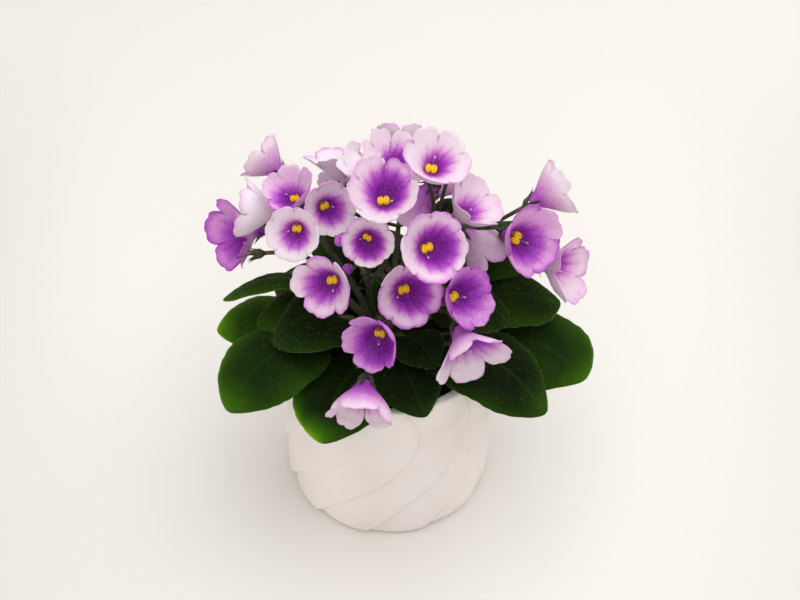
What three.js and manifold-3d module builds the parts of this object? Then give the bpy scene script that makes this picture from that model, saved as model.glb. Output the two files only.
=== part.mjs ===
// Potted African violet: a rosette of hairy leaves and many bell blooms in a ribbed white ceramic pot.
// Millimetres, +Z up, origin at the centre of the pot's underside, front of the plant towards -Y.
import * as THREE from 'three';
import Module from 'manifold-3d';

const wasm = await Module();
wasm.setup();

// pot
const potHeight = 100;
const potWall = 4.6;
const potFloor = 6;
const footRadius = 51.8;
const rimRadius = 55.4;
const swirlBands = 11;
// outer wall: [height, radius, relief depth, degrees that the swirl has turned]
const potLevels = [
  [0.8, 53.5, 1.6, -45],
  [4, 55.7, 2.2, -42],
  [13, 56.3, 2.3, -34],
  [22, 56.6, 2.2, -26],
  [32, 56.7, 2.0, -16],
  [42, 56.7, 1.8, -4],
  [52, 56.6, 1.6, 5],
  [63, 56.5, 1.4, 13.5],
  [75, 56.3, 1.2, 18],
  [86, 56.0, 1.0, 17],
  [95, 55.6, 0.6, 13],
  [99, rimRadius, 0.3, 10],
];
const bandSteps = [0, 0.48, 0.93];

// soil and crown
const soilLevel = 88;
const soilGap = 1.1;
const crownRadius = 8;
const crownFoot = 72;
const crownTop = 113;
const holeRadius = 8.8;
const fitGap = 0.3;

// leaves
const bladeThickness = 0.9;
const petioleRadius = 2.1;
const leafRows = [0, 0.08, 0.22, 0.4, 0.58, 0.75, 0.9, 1];
const leafWidths = [0.28, 0.66, 0.88, 1.0, 1.0, 0.87, 0.53, 0];
const leafColumns = [-1, -0.52, 0, 0.52, 1];
// root: bearing and height on the crown; bend: control point of the arch; tip; share of the arch that is
// petiole; blade width; roll about the midrib in degrees
const leaves = {
  leaf_01: { root: [-168, 97], bend: [-60, -22, 135], tip: [-78.5, -50, 95.5], stem: 0.31, width: 51, roll: 4 },
  leaf_02: { root: [-118, 92.5], bend: [-25, -42, 121], tip: [-31, -70, 95], stem: 0.18, width: 46 },
  leaf_03: { root: [-76, 97], bend: [8.5, -37.5, 123.5], tip: [19.5, -58.5, 101.5], stem: 0.22, width: 34, roll: -9 },
  leaf_04: { root: [-38, 97], bend: [50.8, -32, 138.8], tip: [79.6, -51.2, 96.2], stem: 0.25, width: 50, roll: -5 },
  leaf_05: { root: [0, 93], bend: [80, -3, 120.4], tip: [100, -28, 94], stem: 0.4, width: 52, roll: 5 },
  leaf_06: { root: [11, 101.5], bend: [59, 4.5, 139.5], tip: [90, 9.5, 114], stem: 0.36, width: 40 },
  leaf_07: { root: [-14, 106], bend: [36, -9, 149], tip: [63, -12, 122], stem: 0.34, width: 30 },
  leaf_08: { root: [-158, 106], bend: [-34, -21, 152.5], tip: [-58, -22, 118], stem: 0.19, width: 42 },
  leaf_09: { root: [176, 101], bend: [-43, 3, 137], tip: [-67, -4, 110], stem: 0.34, width: 28 },
  leaf_10: { root: [165, 106], bend: [-46, 12, 155], tip: [-84, 6, 119.5], stem: 0.36, width: 32, roll: 28 },
  leaf_11: { root: [170, 92.5], bend: [-54.5, 12, 118.5], tip: [-88.5, 2, 100], stem: 0.4, width: 38 },
  leaf_12: { root: [34, 103], bend: [50, 33.8, 147.2], tip: [92, 51, 123], stem: 0.36, width: 40 },
  leaf_13: { root: [55, 106], bend: [28, 42, 158], tip: [52, 68, 132], stem: 0.34, width: 32 },
  leaf_14: { root: [-55, 103], bend: [12, -22, 132], tip: [25, -39, 116], stem: 0.14, width: 28 },
  leaf_15: { root: [136, 97], bend: [-34, 28, 130], tip: [-61, 38, 102], stem: 0.3, width: 40 },
  leaf_16: { root: [98, 92.5], bend: [-8, 54, 122], tip: [-12, 90, 97], stem: 0.34, width: 46 },
  leaf_17: { root: [62, 97], bend: [28, 50, 132], tip: [48, 84, 100], stem: 0.34, width: 46 },
  leaf_18: { root: [115, 103], bend: [-18, 38, 142], tip: [-32, 66, 116], stem: 0.34, width: 38 },
};
// small leaves of the heart, fused to the crown: bearing, reach, rise, width
const heartLeaves = [
  [-12, 12, 17, 10],
  [122, 13, 15, 8],
];

// blooms
const petalThickness = 0.75;
const bloomDepth = 1.3;
// half section of the corolla, foot to edge: [radius, height], in units of the bloom's radius and depth
const cupProfile = [
  [0.15, -1.0],
  [0.235, -0.93],
  [0.25, -0.74],
  [0.45, -0.52],
  [0.72, -0.26],
  [0.89, -0.07],
  [0.97, 0.08],
];
const flatProfile = [
  [0.15, -1.0],
  [0.235, -0.93],
  [0.25, -0.74],
  [0.48, -0.51],
  [0.79, -0.27],
  [0.97, -0.12],
  [1.06, -0.06],
];
// where the five lobes part, degrees: two small lobes above, three large ones below
const lobeBounds = [90, 28, -50, -130, -208, -270];
const notchDepths = [0.85, 0.55, 0.5, 0.5, 0.55];
const lobesFrom = 0.64;
// at: centre of the mouth; face: bearing and lift of the way that it looks; turn about its own axis;
// size across; open: 0 cupped to 1 spread
const blooms = {
  bloom_01: { at: [-2, -9, 205], face: [-96, 64], size: 33, open: 0.7 },
  bloom_02: { at: [24, 11, 208], face: [-67, 61], turn: -30, size: 32, open: 0.6, via: [27, 20, 172] },
  bloom_03: { at: [-26, 0, 185], face: [-66, 29], turn: 20, size: 26, open: 0.5 },
  bloom_04: { at: [-44, -16, 183], face: [-99, 25], size: 26, open: 0.7 },
  bloom_05: { at: [-8, -22, 183], face: [-85, 26], size: 24, open: 0.6 },
  bloom_06: { at: [-30, -32, 163], face: [-112, 23], turn: -8, size: 31, open: 0.6 },
  bloom_07: { at: [11, -36, 162], face: [-76, 29], size: 31, open: 0.6 },
  bloom_08: { at: [23, -31, 188], face: [-68, 40], turn: -10, size: 32, open: 0.7 },
  bloom_09: { at: [-7, -55, 148], face: [-109, 15], turn: -5, size: 29, open: 0.3 },
  bloom_10: { at: [71, -8, 171], face: [-55, 26], turn: 30, size: 35, open: 0.4, via: [46, 28, 162] },
  bloom_11: { at: [44, 9, 182], face: [-17, 54], turn: 30, size: 30, open: 0.6 },
  bloom_12: { at: [89, 29, 176], face: [18, 22], size: 31, open: 0.6 },
  bloom_13: { at: [94, 1, 143], face: [-38, 14], size: 34, open: 0.7, via: [56, 31, 134] },
  bloom_14: { at: [54, 12, 143], face: [-19, -37], size: 30, open: 0.6 },
  bloom_15: { at: [40.5, -34, 158.4], face: [-44, 30], turn: 30, size: 30, open: 0.5 },
  bloom_16: { at: [43, -56.6, 134.5], face: [-68, -15], size: 35, open: 1 },
  bloom_17: { at: [-12, -74, 117], face: [-98, -25], turn: 180, size: 31, open: 0.5 },
  bloom_18: { at: [-47, 11, 189], face: [-121, 63], size: 25, open: 0.6 },
  bloom_19: { at: [-65, 47, 181], face: [151, 24], size: 26, open: 0.5 },
  bloom_20: { at: [-71, 16, 172], face: [176, 7], size: 30, open: 0.5 },
  bloom_21: { at: [-83, 28, 142], face: [-140, 16], size: 36, open: 0.8 },
  bloom_22: { at: [-26, 39, 190], face: [111, 63], size: 29, open: 0.5 },
  bloom_23: { at: [-12, 17, 200], face: [113, 81], size: 24, open: 0.3 },
  bloom_24: { at: [3, 36, 194], face: [-19, 82], size: 28, open: 0.6 },
  bloom_25: { at: [7, 61, 186], face: [90, 43], size: 28, open: 0.6 },
  bloom_26: { at: [11, 24, 162], face: [-165, -50], size: 26, open: 0.4 },
  bloom_27: { at: [-22, 64, 156], face: [115, 15], size: 29, open: 0.6 },
  bloom_28: { at: [30, 60, 158], face: [60, 20], size: 29, open: 0.6 },
  bloom_29: { at: [5, 86, 140], face: [92, 5], size: 30, open: 0.5 },
};

// flower stalks
const stalkRadius = 1.6;
const pedicelRadius = 0.85;
const sepalLength = 5.4;
// root: bearing and height on the crown; bend and top of the main stalk; blooms that it carries
const stalks = {
  flower_stalk_01: { root: [-80, 109], bend: [0, -16, 120], top: [0, -25, 130], carries: [9, 17] },
  flower_stalk_02: { root: [-130, 109], bend: [-12, -8, 130], top: [-18, -3, 142], carries: [6, 4] },
  flower_stalk_03: { root: [-58, 109], bend: [5, -10, 135], top: [4, -6, 146], carries: [7, 8, 5] },
  flower_stalk_04: { root: [180, 109], bend: [-10, 2, 135], top: [-8, 6, 158], carries: [1, 3, 23] },
  flower_stalk_05: { root: [40, 109], bend: [12, 10, 135], top: [20, 14, 150], carries: [2, 11, 26, 14] },
  flower_stalk_06: { root: [10, 109], bend: [26, 12, 126], top: [43, 30, 139], carries: [10, 12, 13] },
  flower_stalk_07: { root: [-33, 109], bend: [12, -12, 122], top: [17, -17, 130], carries: [15, 16] },
  flower_stalk_08: { root: [150, 109], bend: [-20, 12, 130], top: [-36, 24, 150], carries: [18, 19, 20, 21] },
  flower_stalk_09: { root: [105, 109], bend: [-3, 18, 135], top: [-4, 28, 152], carries: [22, 24, 25] },
  flower_stalk_10: { root: [75, 109], bend: [4, 28, 124], top: [6, 44, 136], carries: [27, 28, 29] },
};
// calyces whose corolla has dropped, and buds: where, the way they look, and which stalk bears them
const spentFlowers = [
  { stalk: 'flower_stalk_02', at: [-77, 0, 154], face: [-174, -3], size: 24 },
];
const buds = [
  { stalk: 'flower_stalk_05', at: [28, 8, 176], face: [-60, 60], size: 12 },
  { stalk: 'flower_stalk_02', at: [-36, -22, 142], face: [-125, 10], size: 12 },
];

// small tools
function vector(list) {
  return new THREE.Vector3(list[0], list[1], list[2]);
}

function numbered(kind, number) {
  return `${kind}_${String(number).padStart(2, '0')}`;
}

function mix(a, b, share) {
  return a + (b - a) * share;
}

function radians(degrees) {
  return degrees * Math.PI / 180;
}

// a repeatable draw in 0..1 from a seed
function drawer(seed) {
  let state = seed * 7919 + 17;
  return () => {
    state = (1664525 * state + 1013904223) % 4294967296;
    return state / 4294967296;
  };
}

function heading(bearing, lift) {
  const flat = Math.cos(radians(lift));
  return new THREE.Vector3(
    flat * Math.cos(radians(bearing)),
    flat * Math.sin(radians(bearing)),
    Math.sin(radians(lift)),
  );
}

function bezier(a, b, c, t) {
  return a.clone().multiplyScalar((1 - t) * (1 - t))
    .addScaledVector(b, 2 * t * (1 - t))
    .addScaledVector(c, t * t);
}

function bezierSlope(a, b, c, t) {
  return b.clone().sub(a).multiplyScalar(1 - t).addScaledVector(c.clone().sub(b), t).normalize();
}

// a closed body: a list of points and a list of triangles
class Body {
  constructor() {
    this.points = [];
    this.faces = [];
  }

  add(point) {
    this.points.push(point);
    return this.points.length - 1;
  }

  face(a, b, c) {
    this.faces.push([a, b, c]);
  }

  quad(a, b, c, d) {
    this.face(a, b, c);
    this.face(a, c, d);
  }

  // split along its shorter diagonal
  quadShort(a, b, c, d) {
    const [pa, pb, pc, pd] = [a, b, c, d].map((index) => this.points[index]);
    if (pa.distanceTo(pc) <= pb.distanceTo(pd)) {
      this.quad(a, b, c, d);
    } else {
      this.quad(b, c, d, a);
    }
  }

  solid() {
    const mesh = new wasm.Mesh({
      numProp: 3,
      vertProperties: new Float32Array(this.points.flatMap((p) => [p.x, p.y, p.z])),
      triVerts: new Uint32Array(this.faces.flat()),
    });
    mesh.merge();
    return new wasm.Manifold(mesh);
  }
}

// joins two rings of points; a ring of one point is a pole, and a ring may have twice the other's points
function stitch(body, low, high) {
  const few = Math.min(low.length, high.length);
  if (low.length === high.length) {
    for (let i = 0; i < few; i += 1) {
      const next = (i + 1) % few;
      body.quadShort(low[i], low[next], high[next], high[i]);
    }
  } else if (few === 1) {
    const ring = low.length > 1 ? low : high;
    for (let i = 0; i < ring.length; i += 1) {
      const next = (i + 1) % ring.length;
      if (low.length > 1) {
        body.face(ring[i], ring[next], high[0]);
      } else {
        body.face(low[0], ring[next], ring[i]);
      }
    }
  } else if (high.length > low.length) {
    for (let i = 0; i < few; i += 1) {
      const next = (i + 1) % few;
      body.face(low[i], high[2 * i + 1], high[2 * i]);
      body.face(low[i], low[next], high[2 * i + 1]);
      body.face(low[next], high[(2 * i + 2) % high.length], high[2 * i + 1]);
    }
  } else {
    for (let i = 0; i < few; i += 1) {
      const next = (i + 1) % few;
      body.face(low[2 * i], low[2 * i + 1], high[i]);
      body.face(low[2 * i + 1], high[next], high[i]);
      body.face(low[2 * i + 1], low[(2 * i + 2) % low.length], high[next]);
    }
  }
}

function cap(body, ring, upward) {
  for (let i = 1; i < ring.length - 1; i += 1) {
    if (upward) {
      body.face(ring[0], ring[i], ring[i + 1]);
    } else {
      body.face(ring[0], ring[i + 1], ring[i]);
    }
  }
}

// a body from rings of points, counterclockwise as seen from the last ring's side
function ringStack(rings) {
  const body = new Body();
  const placed = rings.map((ring) => ring.map((point) => body.add(point)));
  cap(body, placed[0], false);
  for (let i = 0; i + 1 < placed.length; i += 1) {
    stitch(body, placed[i], placed[i + 1]);
  }
  cap(body, placed[placed.length - 1], true);
  return body;
}

// rings of a round tapered stem through a quadratic arch, turned as little as its bends allow
// its first ring may face another way, and its last may start at a given side
function stemRings(arch, to, steps, sides, radiusFrom, radiusTo, firstFacing, lastSide) {
  const [a, b, c] = arch;
  const stations = [];
  for (let i = 0; i <= steps; i += 1) {
    const t = to * i / steps;
    const along = i === 0 && firstFacing ? firstFacing : bezierSlope(a, b, c, t);
    stations.push({ centre: bezier(a, b, c, t), along, radius: mix(radiusFrom, radiusTo, i / steps) });
  }
  const order = lastSide ? [...stations].reverse() : stations;
  let side = lastSide || sideOf(order[0].along);
  for (const station of order) {
    side = side.clone().addScaledVector(station.along, -side.dot(station.along)).normalize();
    station.side = side;
  }
  return stations.map((station) => {
    const up = station.along.clone().cross(station.side);
    const ring = [];
    for (let k = 0; k < sides; k += 1) {
      const angle = 2 * Math.PI * k / sides;
      ring.push(station.centre.clone()
        .addScaledVector(station.side, station.radius * Math.cos(angle))
        .addScaledVector(up, station.radius * Math.sin(angle)));
    }
    return ring;
  });
}

// a level direction square to the given one, steady where the stem stands nearly upright
function sideOf(along) {
  const reference = Math.abs(along.z) > 0.97 ? new THREE.Vector3(0, 1, 0) : new THREE.Vector3(0, 0, 1);
  return along.clone().cross(reference).normalize();
}

function join(solids) {
  return wasm.Manifold.union(solids);
}

function toGeometry(solid) {
  const mesh = solid.getMesh();
  const geometry = new THREE.BufferGeometry();
  const positions = new Float32Array(mesh.numVert * 3);
  for (let i = 0; i < mesh.numVert; i += 1) {
    positions[3 * i] = mesh.vertProperties[mesh.numProp * i];
    positions[3 * i + 1] = mesh.vertProperties[mesh.numProp * i + 1];
    positions[3 * i + 2] = mesh.vertProperties[mesh.numProp * i + 2];
  }
  geometry.setAttribute('position', new THREE.BufferAttribute(positions, 3));
  geometry.setIndex(new THREE.BufferAttribute(new Uint32Array(mesh.triVerts), 1));
  geometry.computeVertexNormals();
  return geometry;
}

// pot: one ceramic shell with a swirl of eleven soft steps
function potAngles(turned) {
  const angles = [];
  for (let band = 0; band < swirlBands; band += 1) {
    for (const step of bandSteps) {
      angles.push(radians(-90 + turned + 360 * (band + step) / swirlBands));
    }
  }
  return angles;
}

function potRing(level) {
  const [height, radius, relief, turned] = level;
  return potAngles(turned).map((angle, i) => {
    const share = bandSteps[i % bandSteps.length] / bandSteps[bandSteps.length - 1];
    const reach = radius - relief * (1 - Math.sin(share * Math.PI / 2));
    return new THREE.Vector3(reach * Math.cos(angle), reach * Math.sin(angle), height);
  });
}

function plainRing(radius, height, turned) {
  return potAngles(turned).map((angle) => (
    new THREE.Vector3(radius * Math.cos(angle), radius * Math.sin(angle), height)));
}

function innerRadius(height) {
  return mix(footRadius - potWall, rimRadius - potWall, height / potHeight);
}

function potSolid() {
  const turnedFoot = potLevels[0][3];
  const turnedRim = potLevels[potLevels.length - 1][3];
  const rings = [
    [new THREE.Vector3(0, 0, 0)],
    plainRing(footRadius, 0, turnedFoot),
    ...potLevels.map(potRing),
    plainRing(rimRadius - 1, potHeight, turnedRim),
    plainRing(rimRadius - potWall + 0.9, potHeight, turnedRim),
    plainRing(innerRadius(96), potHeight - 1.2, turnedRim),
    plainRing(innerRadius(potFloor + 6), potFloor + 6, turnedRim),
    plainRing(innerRadius(potFloor) - 5, potFloor, turnedRim),
    [new THREE.Vector3(0, 0, potFloor)],
  ];
  return ringStack(rings).solid();
}

// soil: fills the pot, mounded and crumbly on top, with a plain hole for the crown
function soilSolid() {
  const draw = drawer(3);
  const crumbs = (radius, height, rough) => {
    const ring = [];
    for (let i = 0; i < 20; i += 1) {
      const angle = radians(18 * i);
      const reach = radius + rough * (draw() - 0.5) * 3;
      ring.push(new THREE.Vector3(
        reach * Math.cos(angle),
        reach * Math.sin(angle),
        height + rough * (draw() - 0.5) * 2,
      ));
    }
    return ring;
  };
  const rings = [
    [new THREE.Vector3(0, 0, potFloor + soilGap)],
    crumbs(innerRadius(potFloor) - 5.8, potFloor + soilGap, 0),
    crumbs(innerRadius(potFloor + 6) - soilGap, potFloor + 6.6, 0),
    crumbs(innerRadius(84) - soilGap, soilLevel - 1.5, 0),
    crumbs(innerRadius(96) - 2.4, soilLevel, 0.7),
    crumbs(37, soilLevel + 0.6, 1.2),
    crumbs(26, soilLevel + 1.0, 1.2),
    crumbs(16, soilLevel + 1.4, 0.9),
    crumbs(holeRadius, soilLevel + 1, 0),
    crumbs(holeRadius, crownFoot - fitGap, 0),
    [new THREE.Vector3(0, 0, crownFoot - fitGap)],
  ];
  return ringStack(rings).solid();
}

// leaves
function bladeSolid(spine, from, width, roll, wave, thickness, chosen) {
  const [root, bend, tip] = spine;
  const body = new Body();
  const top = [];
  const under = [];
  const kept = chosen || leafRows.map((u, i) => i);
  const rows = kept.length;
  for (let i = 0; i < rows; i += 1) {
    const u = leafRows[kept[i]];
    const t = mix(from, 1, u);
    const along = bezierSlope(root, bend, tip, t);
    const side = sideOf(along).applyAxisAngle(along, radians(roll));
    const normal = side.clone().cross(along).normalize();
    const half = leafWidths[kept[i]] * width / 2;
    const columns = i === rows - 1 ? [0] : leafColumns;
    const topRow = [];
    const underRow = [];
    for (const v of columns) {
      const swept = t - 0.07 * v * v * (1 - u);
      const centre = bezier(root, bend, tip, swept);
      const groove = Math.max(0, 1 - Math.abs(v) / 0.5) * 0.035 * width * (1 - 0.6 * u);
      const camber = 0.22 * half * v * v;
      const flutter = wave * v * v * Math.sin(3.1 * i + 2.2 * Math.sign(v)) * (1 - u);
      const point = centre.clone()
        .addScaledVector(side, v * half)
        .addScaledVector(normal, flutter - camber - groove);
      topRow.push(body.add(point));
      underRow.push(body.add(point.clone().addScaledVector(normal, -thickness)));
    }
    top.push(topRow);
    under.push(underRow);
  }
  const last = leafColumns.length - 1;
  for (let i = 0; i + 2 < rows; i += 1) {
    for (let j = 0; j < last; j += 1) {
      body.face(top[i][j], top[i + 1][j + 1], top[i + 1][j]);
      body.face(top[i][j], top[i][j + 1], top[i + 1][j + 1]);
      body.face(under[i][j], under[i + 1][j], under[i + 1][j + 1]);
      body.face(under[i][j], under[i + 1][j + 1], under[i][j + 1]);
    }
    body.quad(top[i + 1][0], under[i + 1][0], under[i][0], top[i][0]);
    body.quad(top[i][last], under[i][last], under[i + 1][last], top[i + 1][last]);
  }
  const end = rows - 2;
  const tipTop = top[rows - 1][0];
  const tipUnder = under[rows - 1][0];
  for (let j = 0; j < last; j += 1) {
    body.face(top[end][j], top[end][j + 1], tipTop);
    body.face(under[end][j], tipUnder, under[end][j + 1]);
    body.quad(top[0][j], under[0][j], under[0][j + 1], top[0][j + 1]);
  }
  body.quad(tipTop, tipUnder, under[end][0], top[end][0]);
  body.quad(top[end][last], under[end][last], tipUnder, tipTop);
  return body.solid();
}

function leafSpine(leaf) {
  const [bearing, height] = leaf.root;
  const root = heading(bearing, 0).multiplyScalar(crownRadius + fitGap);
  root.z = height;
  return [root, vector(leaf.bend), vector(leaf.tip)];
}

function leafSolid(leaf) {
  const spine = leafSpine(leaf);
  const blade = bladeSolid(spine, leaf.stem, leaf.width, leaf.roll || 0, 1.3, bladeThickness);
  const lower = spine.map((point, i) => point.clone().setZ(point.z - (i > 0 ? 1.7 : 0)));
  const end = mix(leaf.stem, 1, 0.2);
  const facing = heading(leaf.root[0], 0);
  const petiole = ringStack(stemRings(lower, end, 3, 4, petioleRadius, 1.3, facing)).solid();
  return join([blade, petiole]);
}

// crown: short woody neck with the small leaves of the heart
function crownSolid() {
  const ring = (radius, height) => {
    const points = [];
    for (let k = 0; k < 12; k += 1) {
      const angle = 2 * Math.PI * k / 12;
      points.push(new THREE.Vector3(radius * Math.cos(angle), radius * Math.sin(angle), height));
    }
    return points;
  };
  const neck = ringStack([
    ring(crownRadius - 1.4, crownFoot),
    ring(crownRadius - 0.2, crownFoot + 5),
    ring(crownRadius, 104),
    ring(crownRadius - 0.6, 109),
    ring(crownRadius - 3, crownTop),
  ]).solid();
  const parts = [neck];
  for (const [bearing, reach, rise, width] of heartLeaves) {
    const out = heading(bearing, 0);
    const root = out.clone().multiplyScalar(2).setZ(crownTop - 4);
    const bend = out.clone().multiplyScalar(3).setZ(crownTop + rise * 0.7);
    const tip = out.clone().multiplyScalar(reach).setZ(crownTop + rise);
    parts.push(bladeSolid([root, bend, tip], 0.03, width, 0, 0.3, 1, [0, 2, 4, 6, 7]));
  }
  return join(parts);
}

// blooms
function bloomFrame(bloom) {
  const out = heading(bloom.face[0], bloom.face[1]);
  const side = sideOf(out).negate();
  const up = out.clone().cross(side).normalize();
  side.applyAxisAngle(out, radians(bloom.turn || 0));
  up.applyAxisAngle(out, radians(bloom.turn || 0));
  return { out, side, up, centre: vector(bloom.at) };
}

function place(frame, x, y, z) {
  return frame.centre.clone()
    .addScaledVector(frame.side, x)
    .addScaledVector(frame.up, y)
    .addScaledVector(frame.out, z);
}

function petalProfile(open, share) {
  const last = cupProfile.length - 1;
  const whole = Math.min(last - 1, Math.floor(share * last));
  const part = share * last - whole;
  const at = (profile, k) => mix(profile[whole][k], profile[whole + 1][k], part);
  return [
    mix(at(cupProfile, 0), at(flatProfile, 0), open),
    mix(at(cupProfile, 1), at(flatProfile, 1), open),
  ];
}

// around the mouth: four points a lobe, with how far each reaches and how much its lobe bends
function lobePoints(seed) {
  const draw = drawer(seed);
  const lobes = notchDepths.map(() => ({ reach: 0.96 + 0.1 * draw(), bend: 0.14 * draw() - 0.04 }));
  const points = [];
  for (let lobe = 0; lobe < 5; lobe += 1) {
    const before = lobes[(lobe + 4) % 5];
    const own = lobes[lobe];
    for (let k = 0; k < 4; k += 1) {
      const angle = radians(mix(lobeBounds[lobe], lobeBounds[lobe + 1], k / 4));
      const edge = [1 - notchDepths[lobe], 0.93, 1, 0.93][k];
      const reach = k === 0 ? (before.reach + own.reach) / 2 : own.reach;
      const bend = k === 0 ? (before.bend + own.bend) / 2 : own.bend + [0, 0.03, 0, -0.03][k];
      points.push({ angle, edge, reach, bend });
    }
  }
  return points.reverse();
}

function corollaSolid(bloom, seed) {
  const frame = bloomFrame(bloom);
  const radius = bloom.size / 2;
  const depth = radius * bloomDepth;
  const around = lobePoints(seed);
  const half = around.filter((point, i) => i % 2 === 0);
  const fifth = around.filter((point, i) => i % 4 === 0);
  const ringAt = (list, share, inset) => list.map((point) => {
    const swell = Math.max(0, (share - lobesFrom) / (1 - lobesFrom));
    const own = share - (1 - point.edge) * swell * (1 - lobesFrom);
    const [r, z] = petalProfile(bloom.open, own);
    const [rNear, zNear] = petalProfile(bloom.open, Math.max(0, own - 0.08));
    const run = Math.hypot((r - rNear) * radius, (z - zNear) * depth) || 1;
    const inward = [-(z - zNear) * depth / run, (r - rNear) * radius / run];
    const reach = r * radius * mix(1, point.reach, swell) + inset * inward[0];
    const height = z * depth + swell * point.bend * radius + inset * inward[1];
    return place(frame, reach * Math.cos(point.angle), reach * Math.sin(point.angle), height);
  });
  return ringStack([
    ringAt(fifth, 0.1, 0),
    ringAt(half, 0.34, 0),
    ringAt(around, lobesFrom, 0),
    ringAt(around, 1, 0),
    ringAt(around, 1, petalThickness),
    ringAt(half, lobesFrom, petalThickness),
    ringAt(half, 0.33, petalThickness),
  ]).solid();
}

// a small egg-shaped body in the bloom's own frame
function eggSolid(frame, x, y, z, halfX, halfY, halfZ, sides) {
  const ring = (share, height) => {
    const points = [];
    for (let k = 0; k < sides; k += 1) {
      const angle = 2 * Math.PI * k / sides;
      points.push(place(
        frame,
        x + halfX * share * Math.cos(angle),
        y + halfY * share * Math.sin(angle),
        z + height * halfZ,
      ));
    }
    return points;
  };
  return ringStack([
    [place(frame, x, y, z - halfZ)],
    ring(1, 0.1),
    [place(frame, x, y, z + halfZ)],
  ]).solid();
}

function bloomSolid(bloom, seed) {
  const frame = bloomFrame(bloom);
  const radius = bloom.size / 2;
  const low = -0.68 * radius * bloomDepth;
  const scale = radius / 16.5;
  return join([
    corollaSolid(bloom, seed),
    eggSolid(frame, -1.3 * scale, 0, low, 1.6 * scale, 2.3 * scale, 2.3 * scale, 4),
    eggSolid(frame, 1.3 * scale, 0, low, 1.6 * scale, 2.3 * scale, 2.3 * scale, 4),
  ]);
}

// flower stalks: main stalk, a pedicel to each bloom, and calyces with five sepals
// one body: pedicel from the stalk's top, widening to a cup that ends in a star of five sepals
function pedicelSolid(top, flower, spread) {
  const frame = bloomFrame(flower);
  const radius = flower.size / 2;
  const seat = -radius * bloomDepth - fitGap;
  const disc = 0.2 * radius;
  const neck = place(frame, 0, 0, seat - 3.4);
  const behind = place(frame, 0, 0, seat - 3.4 - 0.45 * neck.distanceTo(top));
  const bend = flower.via ? vector(flower.via) : behind;
  const star = (count, pointReach, pointHeight, valleyReach, valleyHeight) => {
    const points = [];
    for (let k = 0; k < count; k += 1) {
      const angle = 2 * Math.PI * k / count;
      const pointed = count === 5 || k % 2 === 0;
      const reach = pointed ? pointReach : valleyReach;
      points.push(place(
        frame,
        reach * Math.cos(angle),
        reach * Math.sin(angle),
        pointed ? pointHeight : valleyHeight,
      ));
    }
    return points;
  };
  const tipReach = disc + 0.5 + spread * sepalLength * 0.62;
  return ringStack([
    ...stemRings(
      [top, bend, neck], 1, 3, 5, pedicelRadius + 0.1, pedicelRadius + 0.2, undefined, frame.side,
    ),
    star(10, disc + 0.7, seat - 0.9, disc + 0.2, seat - 0.9),
    star(10, tipReach, seat + sepalLength, disc + 0.5, seat + 0.5),
    star(5, disc - 0.2, seat, 0, 0),
  ]).solid();
}

function stalkSolid(name, stalk) {
  const facing = heading(stalk.root[0], 0);
  const root = facing.clone().multiplyScalar(crownRadius + fitGap).setZ(stalk.root[1]);
  const top = vector(stalk.top);
  const arch = [root, vector(stalk.bend), top];
  const parts = [ringStack(stemRings(arch, 1, 5, 5, stalkRadius, stalkRadius * 0.8, facing)).solid()];
  const borne = (list) => list.filter((item) => item.stalk === name);
  for (const key of stalk.carries) {
    parts.push(pedicelSolid(top, blooms[numbered('bloom', key)], 1));
  }
  for (const spent of borne(spentFlowers)) {
    const frame = bloomFrame(spent);
    const depth = spent.size / 2 * bloomDepth;
    const foot = place(frame, 0, 0, -depth - 1.2);
    const end = place(frame, 0, 0, -depth + 8);
    const style = [foot, foot.clone().lerp(end, 0.5), end];
    parts.push(pedicelSolid(top, spent, 0.9));
    parts.push(ringStack(stemRings(style, 1, 1, 4, 0.6, 0.4)).solid());
  }
  for (const bud of borne(buds)) {
    const frame = bloomFrame(bud);
    const depth = bud.size / 2 * bloomDepth;
    parts.push(pedicelSolid(top, bud, 0.5));
    parts.push(eggSolid(frame, 0, 0, -depth + 2, 2.2, 2.2, 3.4, 6));
  }
  return join(parts);
}

// assembly
const group = new THREE.Group();
group.name = 'potted_african_violet';

function addPart(name, solid, color, roughness) {
  const mesh = new THREE.Mesh(toGeometry(solid), new THREE.MeshStandardMaterial({ color, roughness }));
  mesh.name = name;
  group.add(mesh);
}

addPart('pot', potSolid(), 0xe9e5de, 0.6);
addPart('soil', soilSolid(), 0x3a2a20, 0.95);
addPart('crown', crownSolid(), 0x4a5a34, 0.8);
Object.entries(leaves).forEach(([name, leaf]) => addPart(name, leafSolid(leaf), 0x24451c, 0.7));
Object.entries(stalks).forEach(([name, stalk]) => addPart(name, stalkSolid(name, stalk), 0x6b5638, 0.7));
Object.entries(blooms).forEach(([name, bloom], i) => addPart(name, bloomSolid(bloom, i + 1), 0xb98ad0, 0.6));

export default group;
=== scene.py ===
import random
from copy import copy
from math import asin, cos, exp, hypot, pi, radians, sin, sqrt
import bpy
from mathutils import Matrix, Vector, noise


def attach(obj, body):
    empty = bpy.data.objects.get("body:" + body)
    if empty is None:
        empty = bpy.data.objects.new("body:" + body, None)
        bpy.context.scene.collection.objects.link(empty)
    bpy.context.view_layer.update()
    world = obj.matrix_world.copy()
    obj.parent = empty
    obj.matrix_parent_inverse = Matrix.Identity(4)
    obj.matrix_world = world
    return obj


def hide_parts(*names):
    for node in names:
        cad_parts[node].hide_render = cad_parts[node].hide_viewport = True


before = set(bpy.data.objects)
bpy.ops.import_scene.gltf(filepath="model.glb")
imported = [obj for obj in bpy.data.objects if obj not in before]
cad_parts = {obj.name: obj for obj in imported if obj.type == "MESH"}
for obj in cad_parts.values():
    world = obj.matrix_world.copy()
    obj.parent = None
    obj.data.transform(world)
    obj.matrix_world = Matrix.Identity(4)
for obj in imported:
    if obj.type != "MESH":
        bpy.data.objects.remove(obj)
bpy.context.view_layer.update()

mm = 0.001  # the tables below are in millimetres, the scene is in metres
print("stage: frame loaded")


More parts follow.
